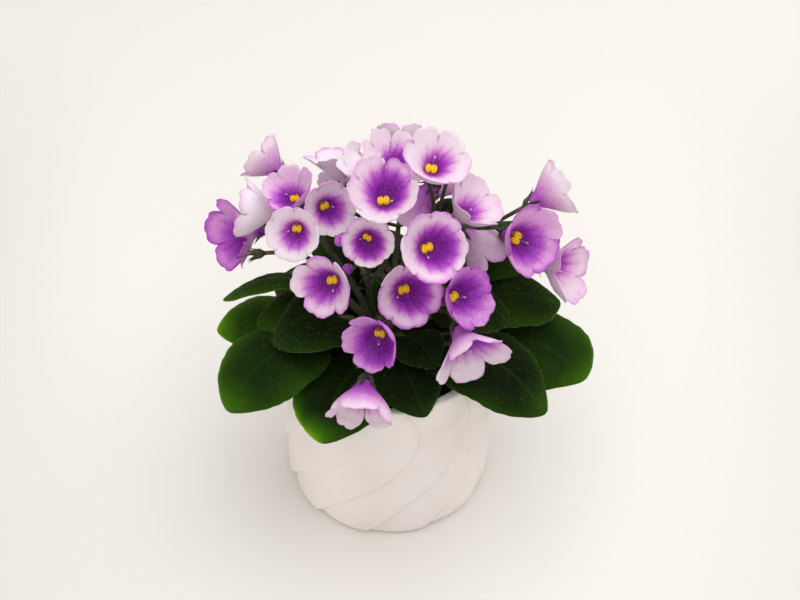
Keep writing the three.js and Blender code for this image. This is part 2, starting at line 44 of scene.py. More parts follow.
# sums and curves that several pieces share

def mixed(low, high, share):
    return low + (high - low) * share


def eased(low, high, value):
    share = min(1.0, max(0.0, (value - low) / (high - low)))
    return share * share * (3 - 2 * share)


def curveThrough(stations, values, position):
    # a smooth curve through values that stand at rising stations
    last = len(stations) - 1
    k = 0
    while k < last - 1 and position > stations[k + 1]:
        k += 1

    def slope(i):
        before, after = max(0, i - 1), min(last, i + 1)
        return (values[after] - values[before]) / (stations[after] - stations[before])

    width = stations[k + 1] - stations[k]
    t = (position - stations[k]) / width
    start = (2 * t ** 3 - 3 * t ** 2 + 1) * values[k] + (t ** 3 - 2 * t ** 2 + t) * width * slope(k)
    end = (3 * t ** 2 - 2 * t ** 3) * values[k + 1] + (t ** 3 - t ** 2) * width * slope(k + 1)
    return start + end


def heading(bearing, lift=0.0):
    flat = cos(radians(lift))
    bearing = radians(bearing)
    return Vector((flat * cos(bearing), flat * sin(bearing), sin(radians(lift))))


def above(height):
    return Vector((0, 0, height))


def arcPoint(arc, t):
    return arc[0] * (1 - t) ** 2 + arc[1] * 2 * t * (1 - t) + arc[2] * t * t


def arcPath(arc, steps):
    return [arcPoint(arc, i / steps) for i in range(steps + 1)]


def arcSlope(arc, t):
    return ((arc[1] - arc[0]) * (1 - t) + (arc[2] - arc[1]) * t).normalized()


def arcFrom(bearing, height, bend, end):
    # an arc that leaves the side of the crown
    return [heading(bearing) * crown["rootReach"] + above(height), Vector(bend), Vector(end)]


def levelSide(ahead):
    # a level direction square to the given one
    reference = Vector((0, 1, 0)) if abs(ahead.z) > 0.97 else above(1)
    return ahead.cross(reference).normalized()


def drawer(seed):
    # repeatable numbers from 0 to 1
    state = seed * 7919 + 17
    while True:
        state = (1664525 * state + 1013904223) % 4294967296
        yield state / 4294967296


def tint(code):
    # a colour from its six-letter code, as the linear values that shaders use
    channels = [int(code[i:i + 2], 16) / 255 for i in (0, 2, 4)]
    linear = [c / 12.92 if c <= 0.04045 else ((c + 0.055) / 1.055) ** 2.4 for c in channels]
    return (*linear, 1.0)


# shader nodes by plain sums

class Wire:  # one output socket of a node
    def __init__(self, look, socket):
        self.look = look
        self.socket = socket

    def sum(self, operation, first, second, clamp=False):
        settings = {"operation": operation, "use_clamp": clamp}
        return self.look.node("Math", settings, {0: first, 1: second})

    def __add__(self, other):
        return self.sum("ADD", self, other)

    def __radd__(self, other):
        return self.sum("ADD", other, self)

    def __sub__(self, other):
        return self.sum("SUBTRACT", self, other)

    def __rsub__(self, other):
        return self.sum("SUBTRACT", other, self)

    def __mul__(self, other):
        return self.sum("MULTIPLY", self, other)

    def __pow__(self, other):
        return self.sum("POWER", self, other)

    def within(self):  # kept from 0 to 1
        return self.sum("ADD", self, 0.0, clamp=True)

    def fraction(self):
        return self.look.node("Math", {"operation": "FRACT"}, {0: self})

    def size(self):
        return self.look.node("Math", {"operation": "ABSOLUTE"}, {0: self})

    def eased(self, low, high):
        sockets = {"Value": self, "From Min": low, "From Max": high}
        return self.look.node("MapRange", {"interpolation_type": "SMOOTHSTEP"}, sockets)


class Look:  # one material
    def __init__(self, name):
        self.material = bpy.data.materials.new(name)
        self.material.use_nodes = True
        self.tree = self.material.node_tree
        self.tree.nodes.clear()

    def node(self, kind, settings=None, sockets=None, output=0):
        made = self.tree.nodes.new("ShaderNode" + kind)
        for key, value in (settings or {}).items():
            if key == "stops":
                self.setStops(made.color_ramp, value)
            else:
                setattr(made, key, value)
        for key, value in (sockets or {}).items():
            if isinstance(value, Wire):
                self.tree.links.new(value.socket, made.inputs[key])
            else:
                made.inputs[key].default_value = value
        return Wire(self, made.outputs[output])

    def setStops(self, ramp, stops):
        while len(ramp.elements) > 1:
            ramp.elements.remove(ramp.elements[-1])
        for i, (position, code) in enumerate(stops):
            stop = ramp.elements[0] if i == 0 else ramp.elements.new(position)
            stop.position = position
            stop.color = tint(code)

    def painted(self, name):
        return self.node("Attribute", {"attribute_name": name}, output="Fac")

    def place(self):
        return self.node("TexCoord", output="Object")

    def triple(self, x, y, z):
        return self.node("CombineXYZ", None, {"X": x, "Y": y, "Z": z})

    def grain(self, vector, scale, detail=2.0, roughness=0.5):
        sockets = {"Vector": vector, "Scale": scale, "Detail": detail, "Roughness": roughness}
        return self.node("TexNoise", None, sockets)

    def cells(self, vector, scale):
        return self.node("TexVoronoi", None, {"Vector": vector, "Scale": scale})

    def ramp(self, factor, stops):
        return self.node("ValToRGB", {"stops": stops}, {"Fac": factor})

    def blend(self, factor, first, second):
        first, second = [tint(c) if isinstance(c, str) else c for c in (first, second)]
        return self.node("Mix", {"data_type": "RGBA"}, {0: factor, 6: first, 7: second}, output=2)

    def bump(self, height, strength, distance):
        sockets = {"Height": height, "Strength": strength, "Distance": distance}
        return self.node("Bump", None, sockets)

    def finish(self, sockets):
        shader = self.node("BsdfPrincipled", None, sockets)
        end = self.tree.nodes.new("ShaderNodeOutputMaterial")
        self.tree.links.new(shader.socket, end.inputs["Surface"])
        return self.material


hairThickness = 0.075


class Skin:  # points and faces of one piece, in millimetres, with painted values for its finish
    def __init__(self, *painted):
        self.points = []
        self.faces = []
        self.finishes = []
        self.painted = {name: [] for name in painted}

    def dot(self, place, **paint):
        self.points.append((place.x * mm, place.y * mm, place.z * mm))
        for name, values in self.painted.items():
            values.append(paint.get(name, 0.0))
        return len(self.points) - 1

    def face(self, corners, finish=0):
        self.faces.append(tuple(corners))
        self.finishes.append(finish)

    def loft(self, rings, finish=0):
        # rings run counterclockwise as seen from the last one; a ring of one point is a pole
        for low, high in zip(rings, rings[1:]):
            count = max(len(low), len(high))
            for i in range(count):
                after = (i + 1) % count
                if len(low) == 1:
                    corners = low[0], high[after], high[i]
                elif len(high) == 1:
                    corners = low[i], low[after], high[0]
                else:
                    corners = low[i], low[after], high[after], high[i]
                self.face(corners, finish)
        if len(rings[0]) > 1:
            self.face(reversed(rings[0]), finish)
        if len(rings[-1]) > 1:
            self.face(rings[-1], finish)

    def ring(self, sides, place, **paint):
        # place gives the point at each angle
        return [self.dot(place(2 * pi * k / sides), **paint) for k in range(sides)]

    def hoop(self, centre, ahead, side, radius, sides, **paint):
        def place(angle):
            return centre + (side * cos(angle) + up * sin(angle)) * radius

        up = ahead.cross(side)
        return self.ring(sides, place, **paint)

    def tube(self, centres, radii, sides, finish=0, **paint):
        rings = []
        side = None
        for i, centre in enumerate(centres):
            ahead = (centres[min(i + 1, len(centres) - 1)] - centres[max(i - 1, 0)]).normalized()
            side = ahead.orthogonal() if side is None else side
            side = (side - ahead * side.dot(ahead)).normalized()
            rings.append(self.hoop(centre, ahead, side, radii[i], sides, **paint))
        self.loft(rings, finish)

    def hair(self, foot, tip):
        ahead = (tip - foot).normalized()
        base = self.hoop(foot, ahead, ahead.orthogonal().normalized(), hairThickness / 2, 3)
        self.loft([base, [self.dot(tip)]])


def addObject(name, data):
    made = bpy.data.objects.new(name, data)
    bpy.context.scene.collection.objects.link(made)
    return made


def makePiece(name, skin, finishes, nodes=()):
    mesh = bpy.data.meshes.new(name)
    mesh.from_pydata(skin.points, [], skin.faces)
    for finish in finishes:
        mesh.materials.append(finish)
    mesh.polygons.foreach_set("material_index", skin.finishes)
    mesh.polygons.foreach_set("use_smooth", [True] * len(skin.faces))
    for key, values in skin.painted.items():
        mesh.attributes.new(key, "FLOAT", "POINT").data.foreach_set("value", values)
    mesh.update()
    piece = addObject(name, mesh)
    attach(piece, "root")
    if nodes:
        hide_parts(*nodes)


# finishes

def potFinish():
    look = Look("potGlaze")
    place = look.place()
    clouds = look.grain(place, 22.0, 4.0)
    specks = look.grain(place, 420.0, 2.0)
    stains = look.grain(place, 60.0, 4.0, 0.6)
    base = look.ramp(clouds, [(0.3, "e6dbd2"), (0.5, "eae2dc"), (0.7, "ebe5e5")])
    # painted light: the sides and the rim are painted paler, as if more light fell on them
    base = look.blend(look.painted("pale"), base, "faf2ed")
    base = look.blend(stains.eased(0.55, 0.75) * 0.25, base, "dccfc8")
    base = look.blend(specks.eased(0.70, 0.78) * 0.3, base, "b9aca0")
    soft = look.bump(look.grain(place, 900.0, 3.0), 0.12, 0.0002)
    return look.finish({
        "Base Color": base,
        "Roughness": 0.40 + clouds * 0.12,
        "Specular IOR Level": 0.35,
        "Normal": soft,
    })


def soilFinish():
    look = Look("pottingSoil")
    place = look.place()
    crumbs = look.cells(place, 520.0)
    base = look.ramp(look.grain(place, 260.0, 5.0, 0.7),
                     [(0.3, "0c0a07"), (0.5, "1c1710"), (0.66, "2f271b"), (0.8, "4b402f")])
    rough = look.bump(crumbs + look.grain(place, 900.0, 4.0), 0.8, 0.0008)
    return look.finish({
        "Base Color": base,
        "Roughness": 0.92,
        "Specular IOR Level": 0.2,
        "Normal": rough,
    })


# side veins of a leaf: how far they slant forward, how many there are, where the first one starts
veins = {"slant": 0.34, "count": 7.5, "start": 0.2}


def leafFinish():
    look = Look("leafBlade")
    place = look.place()
    along = look.painted("along")
    across = look.painted("across")
    bright = look.painted("bright")
    under = look.painted("under")
    patches = look.grain(place, 60.0, 3.0)
    fine = look.grain(place, 900.0, 2.0)
    lane = ((along - across * veins["slant"]) * veins["count"] + veins["start"]).fraction()
    sideVein = 1 - (lane - 0.5).size().eased(0.0, 0.085)
    midrib = 1 - across.eased(0.0, 0.075)
    vein = (sideVein * (1 - across.eased(0.75, 1.0)) * 0.6 + midrib).within()
    # painted light and shade from the blade's values, a little more painted light at the very edges, and
    # random patches
    amount = bright + (across ** 5.0) * 0.09 + (patches - 0.5) * 0.26 + (fine - 0.5) * 0.10
    top = look.ramp(amount, [
        (0.0, "0d1805"),
        (0.2, "182c08"),
        (0.42, "274509"),
        (0.7, "3d6b09"),
        (1.0, "6f9a10"),
    ])
    top = look.blend(vein * 0.16, top, "33521a")
    low = look.blend(vein * 0.6, "44602e", "77805a")
    base = look.blend(under, top, low)
    blisters = look.cells(place, 620.0) * 0.6 + fine * 0.5
    relief = look.bump(blisters - vein * 0.7, 0.5, 0.0004)
    return look.finish({
        "Base Color": base,
        "Roughness": 0.72,
        "Specular IOR Level": 0.04,
        "Sheen Weight": 0.02,
        "Sheen Roughness": 0.5,
        "Sheen Tint": tint("b4cf8c"),
        "Normal": relief,
    })


def hairFinish():
    look = Look("plantHair")
    amount = look.grain(look.place(), 300.0)
    return look.finish({
        "Base Color": look.ramp(amount, [(0.35, "5d6b45"), (0.65, "b3b892")]),
        "Roughness": 0.5,
        "Subsurface Weight": 0.3,
        "Subsurface Scale": 0.0005,
    })


def stalkFinish():
    look = Look("stalkSkin")
    place = look.place()
    green = look.painted("green")
    clouds = look.grain(place, 140.0, 3.0)
    brown = look.ramp(clouds, [(0.3, "2a2011"), (0.55, "4a3822"), (0.75, "6a533a")])
    leafy = look.ramp(clouds, [(0.3, "1a2510"), (0.55, "2c3a18"), (0.75, "465030")])
    return look.finish({
        "Base Color": look.blend(green, brown, leafy),
        "Roughness": 0.55,
        "Sheen Weight": 0.15,
        "Sheen Roughness": 0.4,
        "Sheen Tint": tint("e6dccb"),
        "Normal": look.bump(look.grain(place, 1500.0, 2.0), 0.5, 0.0002),
    })


def petalFinish():
    look = Look("bloomPetal")
    place = look.place()
    violet = look.painted("violet")
    run = look.painted("run")
    inside = look.painted("inside")
    aroundX = look.painted("aroundX")
    aroundY = look.painted("aroundY")
    # streaks run from the throat to the edge of each lobe
    streaks = look.grain(look.triple(aroundX * 5.0, aroundY * 5.0, run * 1.3), 1.0, 3.0, 0.6)
    threads = look.grain(look.triple(aroundX * 15.0, aroundY * 15.0, run * 2.0), 1.0, 2.0, 0.5)
    mottle = look.grain(place, 260.0, 3.0)
    crystals = look.grain(place, 1000.0, 3.0, 0.7)
    paintedGlitter = look.grain(place, 2600.0, 2.0)
    between = violet * (1 - violet) * 4.0
    amount = violet + (streaks - 0.5) * (between * 0.05 + 0.05) * (0.4 + inside * 0.6)
    amount = amount + (threads - 0.5) * (violet * violet * 0.16 + 0.04) + (mottle - 0.5) * 0.20
    amount = amount + (crystals - 0.5) * (between * 0.14 + 0.16)
    amount = amount + run.eased(0.94, 0.998) * (0.12 - inside * 0.04)
    base = look.ramp(amount.within(), [
        (0.0, "ede0e8"),
        (0.16, "e6cede"),
        (0.34, "d8a6d4"),
        (0.54, "bb69c5"),
        (0.76, "9c32b3"),
        (1.0, "730f8b"),
    ])
    # painted glints: fine near-white specks where light catches the petal's cells
    base = look.blend(paintedGlitter.eased(0.60, 0.74) * 0.22, base, "fff0ff")
    # painted glints: white points in small cells, where the petal sparkles
    paintedGlints = 1 - look.cells(place, 620.0).eased(0.10, 0.20)
    base = look.blend(paintedGlints * mottle.eased(0.48, 0.62) * 0.24, base, "ffffff")
    relief = look.bump(threads * 0.5 + look.grain(place, 1400.0, 2.0) * 0.5, 0.35, 0.0002)
    return look.finish({
        "Base Color": base,
        "Roughness": 0.52,
        "Specular IOR Level": 0.22,
        "Subsurface Weight": 0.50,
        "Subsurface Scale": 0.0020,
        "Subsurface Radius": (1.0, 0.7, 0.95),
        "Sheen Weight": 0.08,
        "Sheen Roughness": 0.4,
        "Sheen Tint": tint("f6e6ff"),
        "Normal": relief,
    })


def antherFinish():
    look = Look("yellowAnther")
    place = look.place()
    # painted shade: darker brown in each anther's groove and on its back, carried in the violet values
    groove = look.painted("violet")
    grains = look.grain(place, 1800.0, 2.0)
    amount = groove + (grains - 0.5) * 0.3
    return look.finish({
        "Base Color": look.ramp(amount, [(0.0, "ffd600"), (0.5, "f6b600"), (1.0, "9a4a04")]),
        "Roughness": 0.6,
        "Subsurface Weight": 0.15,
        "Subsurface Scale": 0.0008,
        "Normal": look.bump(grains, 0.4, 0.0001),
    })


def styleFinish():
    look = Look("styleAndOvary")
    stops = [(0.0, "82524c"), (0.35, "8d5aa0"), (0.85, "b183c4"), (1.0, "efd0e4")]
    return look.finish({
        "Base Color": look.ramp(look.painted("run"), stops),
        "Roughness": 0.4,
        "Subsurface Weight": 0.2,
        "Subsurface Scale": 0.0006,
    })


def floorFinish():
    look = Look("paleFloor")
    place = look.place()
    base = look.blend(look.grain(place, 3.0, 2.0) * 0.25, "ebe8e4", "efece8")
    # painted shade: a little darker at the front corners, where the light falls off
    oval = {0: place, 1: (1.0, 0.45, 1.0), 2: (0.0, -0.135, 0.0)}
    flat = look.node("VectorMath", {"operation": "MULTIPLY_ADD"}, oval)
    aside = look.node("VectorMath", {"operation": "LENGTH"}, {0: flat}, output="Value")
    back = look.node("SeparateXYZ", None, {"Vector": place}, output="Y")
    base = look.blend(aside.eased(0.17, 0.32) * (1 - back.eased(0.15, 0.48)), base, "dedbd7")
    return look.finish({"Base Color": base, "Roughness": 0.7, "Specular IOR Level": 0.15})


potGlaze = potFinish()
soilCrumb = soilFinish()
leafSkin = leafFinish()
hairSkin = hairFinish()
stalkSkin = stalkFinish()
petalSkin = petalFinish()
antherSkin = antherFinish()
styleSkin = styleFinish()
floorSkin = floorFinish()
print("stage: finishes made")


# camera, light and floor

studio = {
    "aim": (6.8, 0.0, 124.5),  # mm, the point at the middle of the picture
    "distance": 700.0,
    "lift": 44.0,  # degrees above the horizon
    "lens": 62.1,
    "keyLight": {"at": (270.0, 150.0, 1150.0), "size": 1500.0, "watts": 8.6, "colour": (0.965, 0.985, 1.0)},
    "fillLight": {"at": (-80.0, -820.0, 1000.0), "size": 1250.0, "watts": 3.2, "colour": (0.98, 0.99, 1.0)},
    "lit": 100.0,  # mm, the height that both lights point at
    "sky": 0.68,
    "skyColour": (1.0, 0.965, 0.925, 1.0),
    "floorSize": 6000.0,
}


def setCamera():
    lens = bpy.data.cameras.new("photoCamera")
    lens.lens = studio["lens"]
    lens.sensor_width = 36.0
    lens.clip_start = 0.01
    camera = addObject("photoCamera", lens)
    camera.location = (Vector(studio["aim"]) + heading(-90, studio["lift"]) * studio["distance"]) * mm
    camera.rotation_euler = (radians(90 - studio["lift"]), 0, 0)
    bpy.context.scene.camera = camera


def setLight(name):
    values = studio[name]
    light = bpy.data.lights.new(name, "AREA")
    light.shape = "DISK"
    light.size = values["size"] * mm
    light.energy = values["watts"]
    light.color = values["colour"]
    lamp = addObject(name, light)
    lamp.location = Vector(values["at"]) * mm
    toward = above(studio["lit"] * mm) - lamp.location
    lamp.rotation_euler = toward.to_track_quat("-Z", "Y").to_euler()


def setSky():
    world = bpy.data.worlds.new("softSky")
    world.use_nodes = True
    background = world.node_tree.nodes["Background"]
    background.inputs["Color"].default_value = studio["skyColour"]
    background.inputs["Strength"].default_value = studio["sky"]
    bpy.context.scene.world = world
    bpy.context.scene.view_settings.view_transform = "Standard"


def setFloor():
    half = studio["floorSize"] / 2 * mm
    mesh = bpy.data.meshes.new("paleFloor")
    corners = [(-half, -half, 0), (half, -half, 0), (half, half, 0), (-half, half, 0)]
    mesh.from_pydata(corners, [], [(0, 1, 2, 3)])
    mesh.materials.append(floorSkin)
    floor = addObject("paleFloor", mesh)


setCamera()
setLight("keyLight")
setLight("fillLight")
setSky()
setFloor()
print("stage: camera, light and floor set")


# pot: one shell with a swirl of soft steps

pot = {
    "height": 100.0,
    "wall": 4.6,
    "floor": 6.0,
    "foot": 47.4,
    "rim": 55.4,
    "bands": 11,
    "rows": 64,
    "rowBias": 1.25,  # above 1: closer rows near the foot
    # how much light is painted onto the sides and the rim
    "pale": 0.8,
    # height, radius, relief depth, degrees that the swirl has turned
    "levels": [
        (0, 47.4, 0.8, -45.5),
        (0.5, 50.6, 1.3, -45.2),
        (1.3, 53.6, 1.7, -44.5),
        (4, 55.3, 2.2, -42),
        (13, 56.3, 2.3, -34),
        (22, 56.6, 2.2, -26),
        (32, 56.7, 2.0, -16),
        (42, 56.7, 1.8, -4),
        (52, 56.6, 1.6, 5),
        (63, 56.5, 1.4, 13.5),
        (75, 56.3, 1.2, 18),
        (86, 56.0, 1.0, 17),
        (95, 55.6, 0.6, 13),
        (99, 55.4, 0.3, 10),
    ],
    # shares of a band: close together at the step itself
    "steps": [0, 0.03, 0.08, 0.16, 0.27, 0.4, 0.54, 0.68, 0.8, 0.88, 0.925, 0.95, 0.97, 0.985],
    "crest": 0.945,
    # rounded rim: radius, height
    "rimRound": [
        (55.25, 99.35), (54.9, 99.7), (54.4, 99.92), (53.8, 100),
        (52.2, 100), (51.6, 99.9), (51.1, 99.6), (50.75, 99.1),
    ],
    # inside below the rim: heights of the rings
    "wallRings": [80, 60, 40, 20, 12],
}


def innerRadius(height):
    return mixed(pot["foot"] - pot["wall"], pot["rim"] - pot["wall"], height / pot["height"])


def potAngles(turned):
    shares = [(band + step) / pot["bands"] for band in range(pot["bands"]) for step in pot["steps"]]
    return [radians(-90 + turned + 360 * share) for share in shares]


def potRelief(step):
    # low just past a line, rising to the next line
    if step <= pot["crest"]:
        return 1 - sin(step / pot["crest"] * pi / 2)
    return eased(pot["crest"], 1.0, step)


def makePot():
    skin = Skin("pale")
    stations, radii, reliefs, turns = zip(*pot["levels"])
    reliefOf = [potRelief(step) for step in pot["steps"]] * pot["bands"]

    def potDot(angle, reach, height):
        # painted light: the glaze is painted paler near the rim and at the sides, more so on the left, where
        # these parts would otherwise fall into shade
        right = cos(angle)
        pale = max(eased(0.4, 0.95, right), eased(0, 0.6, -right), 0.3 * eased(72, 96, height))
        return skin.dot(Vector((reach * right, reach * sin(angle), height)), pale=pot["pale"] * pale)

    def plainRing(radius, height, turned=turns[-1]):
        return [potDot(angle, radius, height) for angle in potAngles(turned)]

    rings = [[skin.dot(above(0))], plainRing(pot["foot"] - 0.6, 0, turns[0])]
    for i in range(pot["rows"] + 1):
        height = stations[-1] * (i / pot["rows"]) ** pot["rowBias"]
        level = [curveThrough(stations, values, height) for values in (radii, reliefs, turns)]
        radius, relief, turned = level
        columns = zip(potAngles(turned), reliefOf)
        rings.append([potDot(angle, radius - relief * share, height) for angle, share in columns])
    rings += [plainRing(radius, height) for radius, height in pot["rimRound"]]
    rings.append(plainRing(innerRadius(96), 98.5))
    rings += [plainRing(innerRadius(height), height) for height in pot["wallRings"]]
    rings.append(plainRing(innerRadius(pot["floor"]) - 5, pot["floor"]))
    rings.append([skin.dot(above(pot["floor"]))])
    skin.loft(rings)
    makePiece("potShell", skin, [potGlaze], ["pot"])


makePot()
print("stage: pot made")


# soil: mounded and crumbly on top, with a hole for the crown

soil = {
    "level": 88.0,
    "gap": 1.1,
    "hole": 8.8,
    "holeFoot": 71.7,
    "around": 96,
    "rings": 26,
    "mound": 1.4,
    "lumps": 1.0,
    "grit": 0.7,
    "crumbs": 260,
    "crumbSize": (0.5, 1.5),
    "seed": 5,
}


def soilHeight(x, y):
    reach = hypot(x, y)
    mound = soil["mound"] * (1 - eased(10, 46, reach))
    lumps = noise.noise(Vector((x, y, 3.0)) * 0.12) * soil["lumps"]
    grit = noise.noise(Vector((x, y, 9.0)) * 0.45) * soil["grit"]
    # calmer beside the wall and the crown
    calm = eased(soil["hole"], soil["hole"] + 4, reach) * (1 - eased(42, 46.5, reach))
    return soil["level"] + mound + (lumps + grit) * mixed(0.2, 1.0, calm)


def makeSoil():
    skin = Skin()
    outer = innerRadius(84) - soil["gap"]

    def ring(radius, height=None):
        def place(angle):
            x, y = radius * cos(angle), radius * sin(angle)
            return Vector((x, y, soilHeight(x, y) if height is None else height))

        return skin.ring(soil["around"], place)

    floor = pot["floor"] + soil["gap"]
    rings = [
        [skin.dot(above(floor))],
        ring(innerRadius(pot["floor"]) - 5.8, floor),
        ring(innerRadius(pot["floor"] + 6) - soil["gap"], floor + 5.5),
        ring(outer, soil["level"] - 1.5),
    ]
    for i in range(soil["rings"] + 1):
        rings.append(ring(mixed(outer - 0.6, soil["hole"], i / soil["rings"])))
    rings += [ring(soil["hole"], soil["holeFoot"]), [skin.dot(above(soil["holeFoot"]))]]
    skin.loft(rings)
    chance = random.Random(soil["seed"])
    for _ in range(soil["crumbs"]):  # loose crumbs, each half sunk
        angle, reach = chance.uniform(0, 2 * pi), chance.uniform(12, outer - 3)
        x, y = reach * cos(angle), reach * sin(angle)
        size = chance.uniform(*soil["crumbSize"])
        centre = Vector((x, y, soilHeight(x, y) + size * 0.2))
        rings = [[skin.dot(centre - above(size * 0.8))]]
        for level in (-0.45, 0.35):
            middle = centre + above(size * level)
            spokes = [heading(60 * k + 30 * level) * size * chance.uniform(0.75, 1.1) for k in range(6)]
            rings.append([skin.dot(middle + spoke) for spoke in spokes])
        rings.append([skin.dot(centre + above(size * 0.75))])
        skin.loft(rings)
    makePiece("soilFill", skin, [soilCrumb], ["soil"])


makeSoil()
print("stage: soil made")


# what all leaves and flower stalks grow from

crown = {
    "radius": 7.85,
    "top": 113.0,
    "rootReach": 8.3,
    "ridge": 0.1,
    # bearing, reach, rise, width
    "heart": [(-12, 12, 17, 10), (122, 13, 15, 8)],
    # radius below the full one, height
    "profile": [
        (1.4, 72), (0.5, 74.5), (0.2, 77), (0.0, 90), (0.0, 104),
        (0.3, 107), (0.6, 109), (1.8, 111.5), (3.6, 112.9),
    ],
    "ridgeFrom": 80,
    "ridgeTo": 108,
    "hairs": 420,
    "hairFrom": 90,
    "hairTo": 108,
}


# leaves

leaf = {
    "thickness": 0.9,
    "edge": 0.4,
    "petiole": 2.1,
    "rows": 46,
    "columns": 32,
    "quilt": 0.35,
    "teeth": 0.020,
    "teethAlong": 10,
    "stations": [0, 0.08, 0.22, 0.4, 0.58, 0.75, 0.9, 1],
    "widths": [0.28, 0.66, 0.88, 1.0, 1.0, 0.87, 0.53, 0],
    "groove": 0.035,
    "camber": 0.22,
    "wave": 1.3,
    "topHairs": 420,
    "edgeHairs": 300,
    "petioleHairs": 150,
    "hairLength": 0.9,
}

# bearing and height of the root, bend, tip, share that is petiole, width, roll,
# painted light at the base and at the edge: lower values are painted shade, higher ones painted light
leaves = {
    "01": ((-168, 97), (-60, -22, 135), (-78.5, -50, 95.5), 0.31, 51, 4, 0.16, 0.74),
    "02": ((-118, 92.5), (-25, -42, 121), (-31, -70, 95), 0.18, 46, 0, 0.06, 0.90),
    "03": ((-76, 97), (8.5, -37.5, 123.5), (19.5, -58.5, 101.5), 0.22, 34, -9, 0.0, 0.34),
    "04": ((-38, 97), (50.8, -32, 138.8), (79.6, -51.2, 96.2), 0.25, 50, -5, 0, 0.52),
    "05": ((0, 93), (80, -3, 120.4), (100, -28, 94), 0.4, 52, 5, 0.20, 0.64),
    "06": ((11, 101.5), (59, 4.5, 139.5), (90, 9.5, 114), 0.36, 40, 0, 0.20, 0.46),
    "07": ((-14, 106), (36, -9, 149), (63, -12, 122), 0.34, 33.5, 0, 0.06, 0.30),
    "08": ((-158, 106), (-34, -21, 152.5), (-58, -22, 118), 0.19, 42, 0, 0.05, 0.34),
    "09": ((176, 101), (-43, 3, 137), (-67, -4, 110), 0.34, 28, 0, 0.28, 0.48),
    "10": ((165, 106), (-46, 12, 155), (-84, 6, 119.5), 0.36, 32, 28, 0.26, 0.52),
    "11": ((170, 92.5), (-54.5, 12, 118.5), (-88.5, 2, 100), 0.4, 38, 0, 0.38, 0.90),
    "12": ((34, 103), (50, 33.8, 147.2), (92, 51, 123), 0.36, 40, 0, 0.2, 0.5),
    "13": ((55, 106), (28, 42, 158), (52, 68, 132), 0.34, 32, 0, 0.16, 0.42),
    "14": ((-55, 103), (12, -22, 132), (25, -39, 116), 0.14, 28, 0, 0.0, 0.22),
    "15": ((136, 97), (-34, 28, 130), (-61, 38, 102), 0.3, 40, 0, 0.14, 0.5),
    "16": ((98, 92.5), (-8, 54, 122), (-12, 90, 97), 0.34, 46, 0, 0.16, 0.6),
    "17": ((62, 97), (28, 50, 132), (48, 84, 100), 0.34, 46, 0, 0.16, 0.6),
    "18": ((115, 103), (-18, 38, 142), (-32, 66, 116), 0.34, 38, 0, 0.12, 0.4),
}


class Blade:  # where a leaf's surface lies: u from base to tip, v from one edge to the other
    def __init__(self, arc, start, width, roll, wave, key):
        self.arc = arc
        self.start = start
        self.width = width
        self.roll = roll
        self.wave = wave
        self.key = key

    def frameAt(self, u):
        ahead = arcSlope(self.arc, mixed(self.start, 1, u))
        side = Matrix.Rotation(radians(self.roll), 3, ahead) @ levelSide(ahead)
        return ahead, side, side.cross(ahead).normalized()

    def outward(self, u):  # how far the leaf's right side points away from the crown
        side = self.frameAt(u)[1]
        return side.x * (1 if self.arc[2].x > 0 else -1)

    def halfWidth(self, u):
        tipFrom = leaf["stations"][-2]
        if u > tipFrom:  # a blunt round tip
            share = leaf["widths"][-2] * (1 - (u - tipFrom) / (1 - tipFrom)) ** 0.62
        else:
            share = curveThrough(leaf["stations"], leaf["widths"], u)
        return share * self.width / 2

    def surface(self, u, v):
        _, side, normal = self.frameAt(u)
        half, far = self.halfWidth(u), abs(v)
        scallop = abs(sin(pi * leaf["teethAlong"] * u)) - 0.6
        reach = v * half * (1 + leaf["teeth"] * scallop * v ** 8)
        centre = arcPoint(self.arc, mixed(self.start, 1, u) - 0.07 * v * v * (1 - u))
        groove = max(0.0, 1 - far / 0.5) ** 1.25 * leaf["groove"] * self.width * (1 - 0.6 * u)
        camber = leaf["camber"] * half * v * v
        phase = 2.2 if v > 0 else -2.2
        waves = [sin(3.1 * i + phase) for i in range(len(leaf["stations"]))]
        flutter = self.wave * v * v * curveThrough(leaf["stations"], waves, u) * (1 - u)
        lane = ((u - far * veins["slant"]) * veins["count"] + veins["start"]) % 1
        quilt = leaf["quilt"] * (abs(lane - 0.5) * 2) ** 0.7 * (1 - far ** 6) * eased(0, 0.15, far)
        uneven = noise.noise(Vector((u * 3, v * 2, self.key * 5.1))) * 0.5 * (1 - u) * far
        lift = flutter - camber - groove + (quilt - 0.2) * (1 - eased(0.9, 1, u)) + uneven
        return centre + side * reach + normal * lift, normal


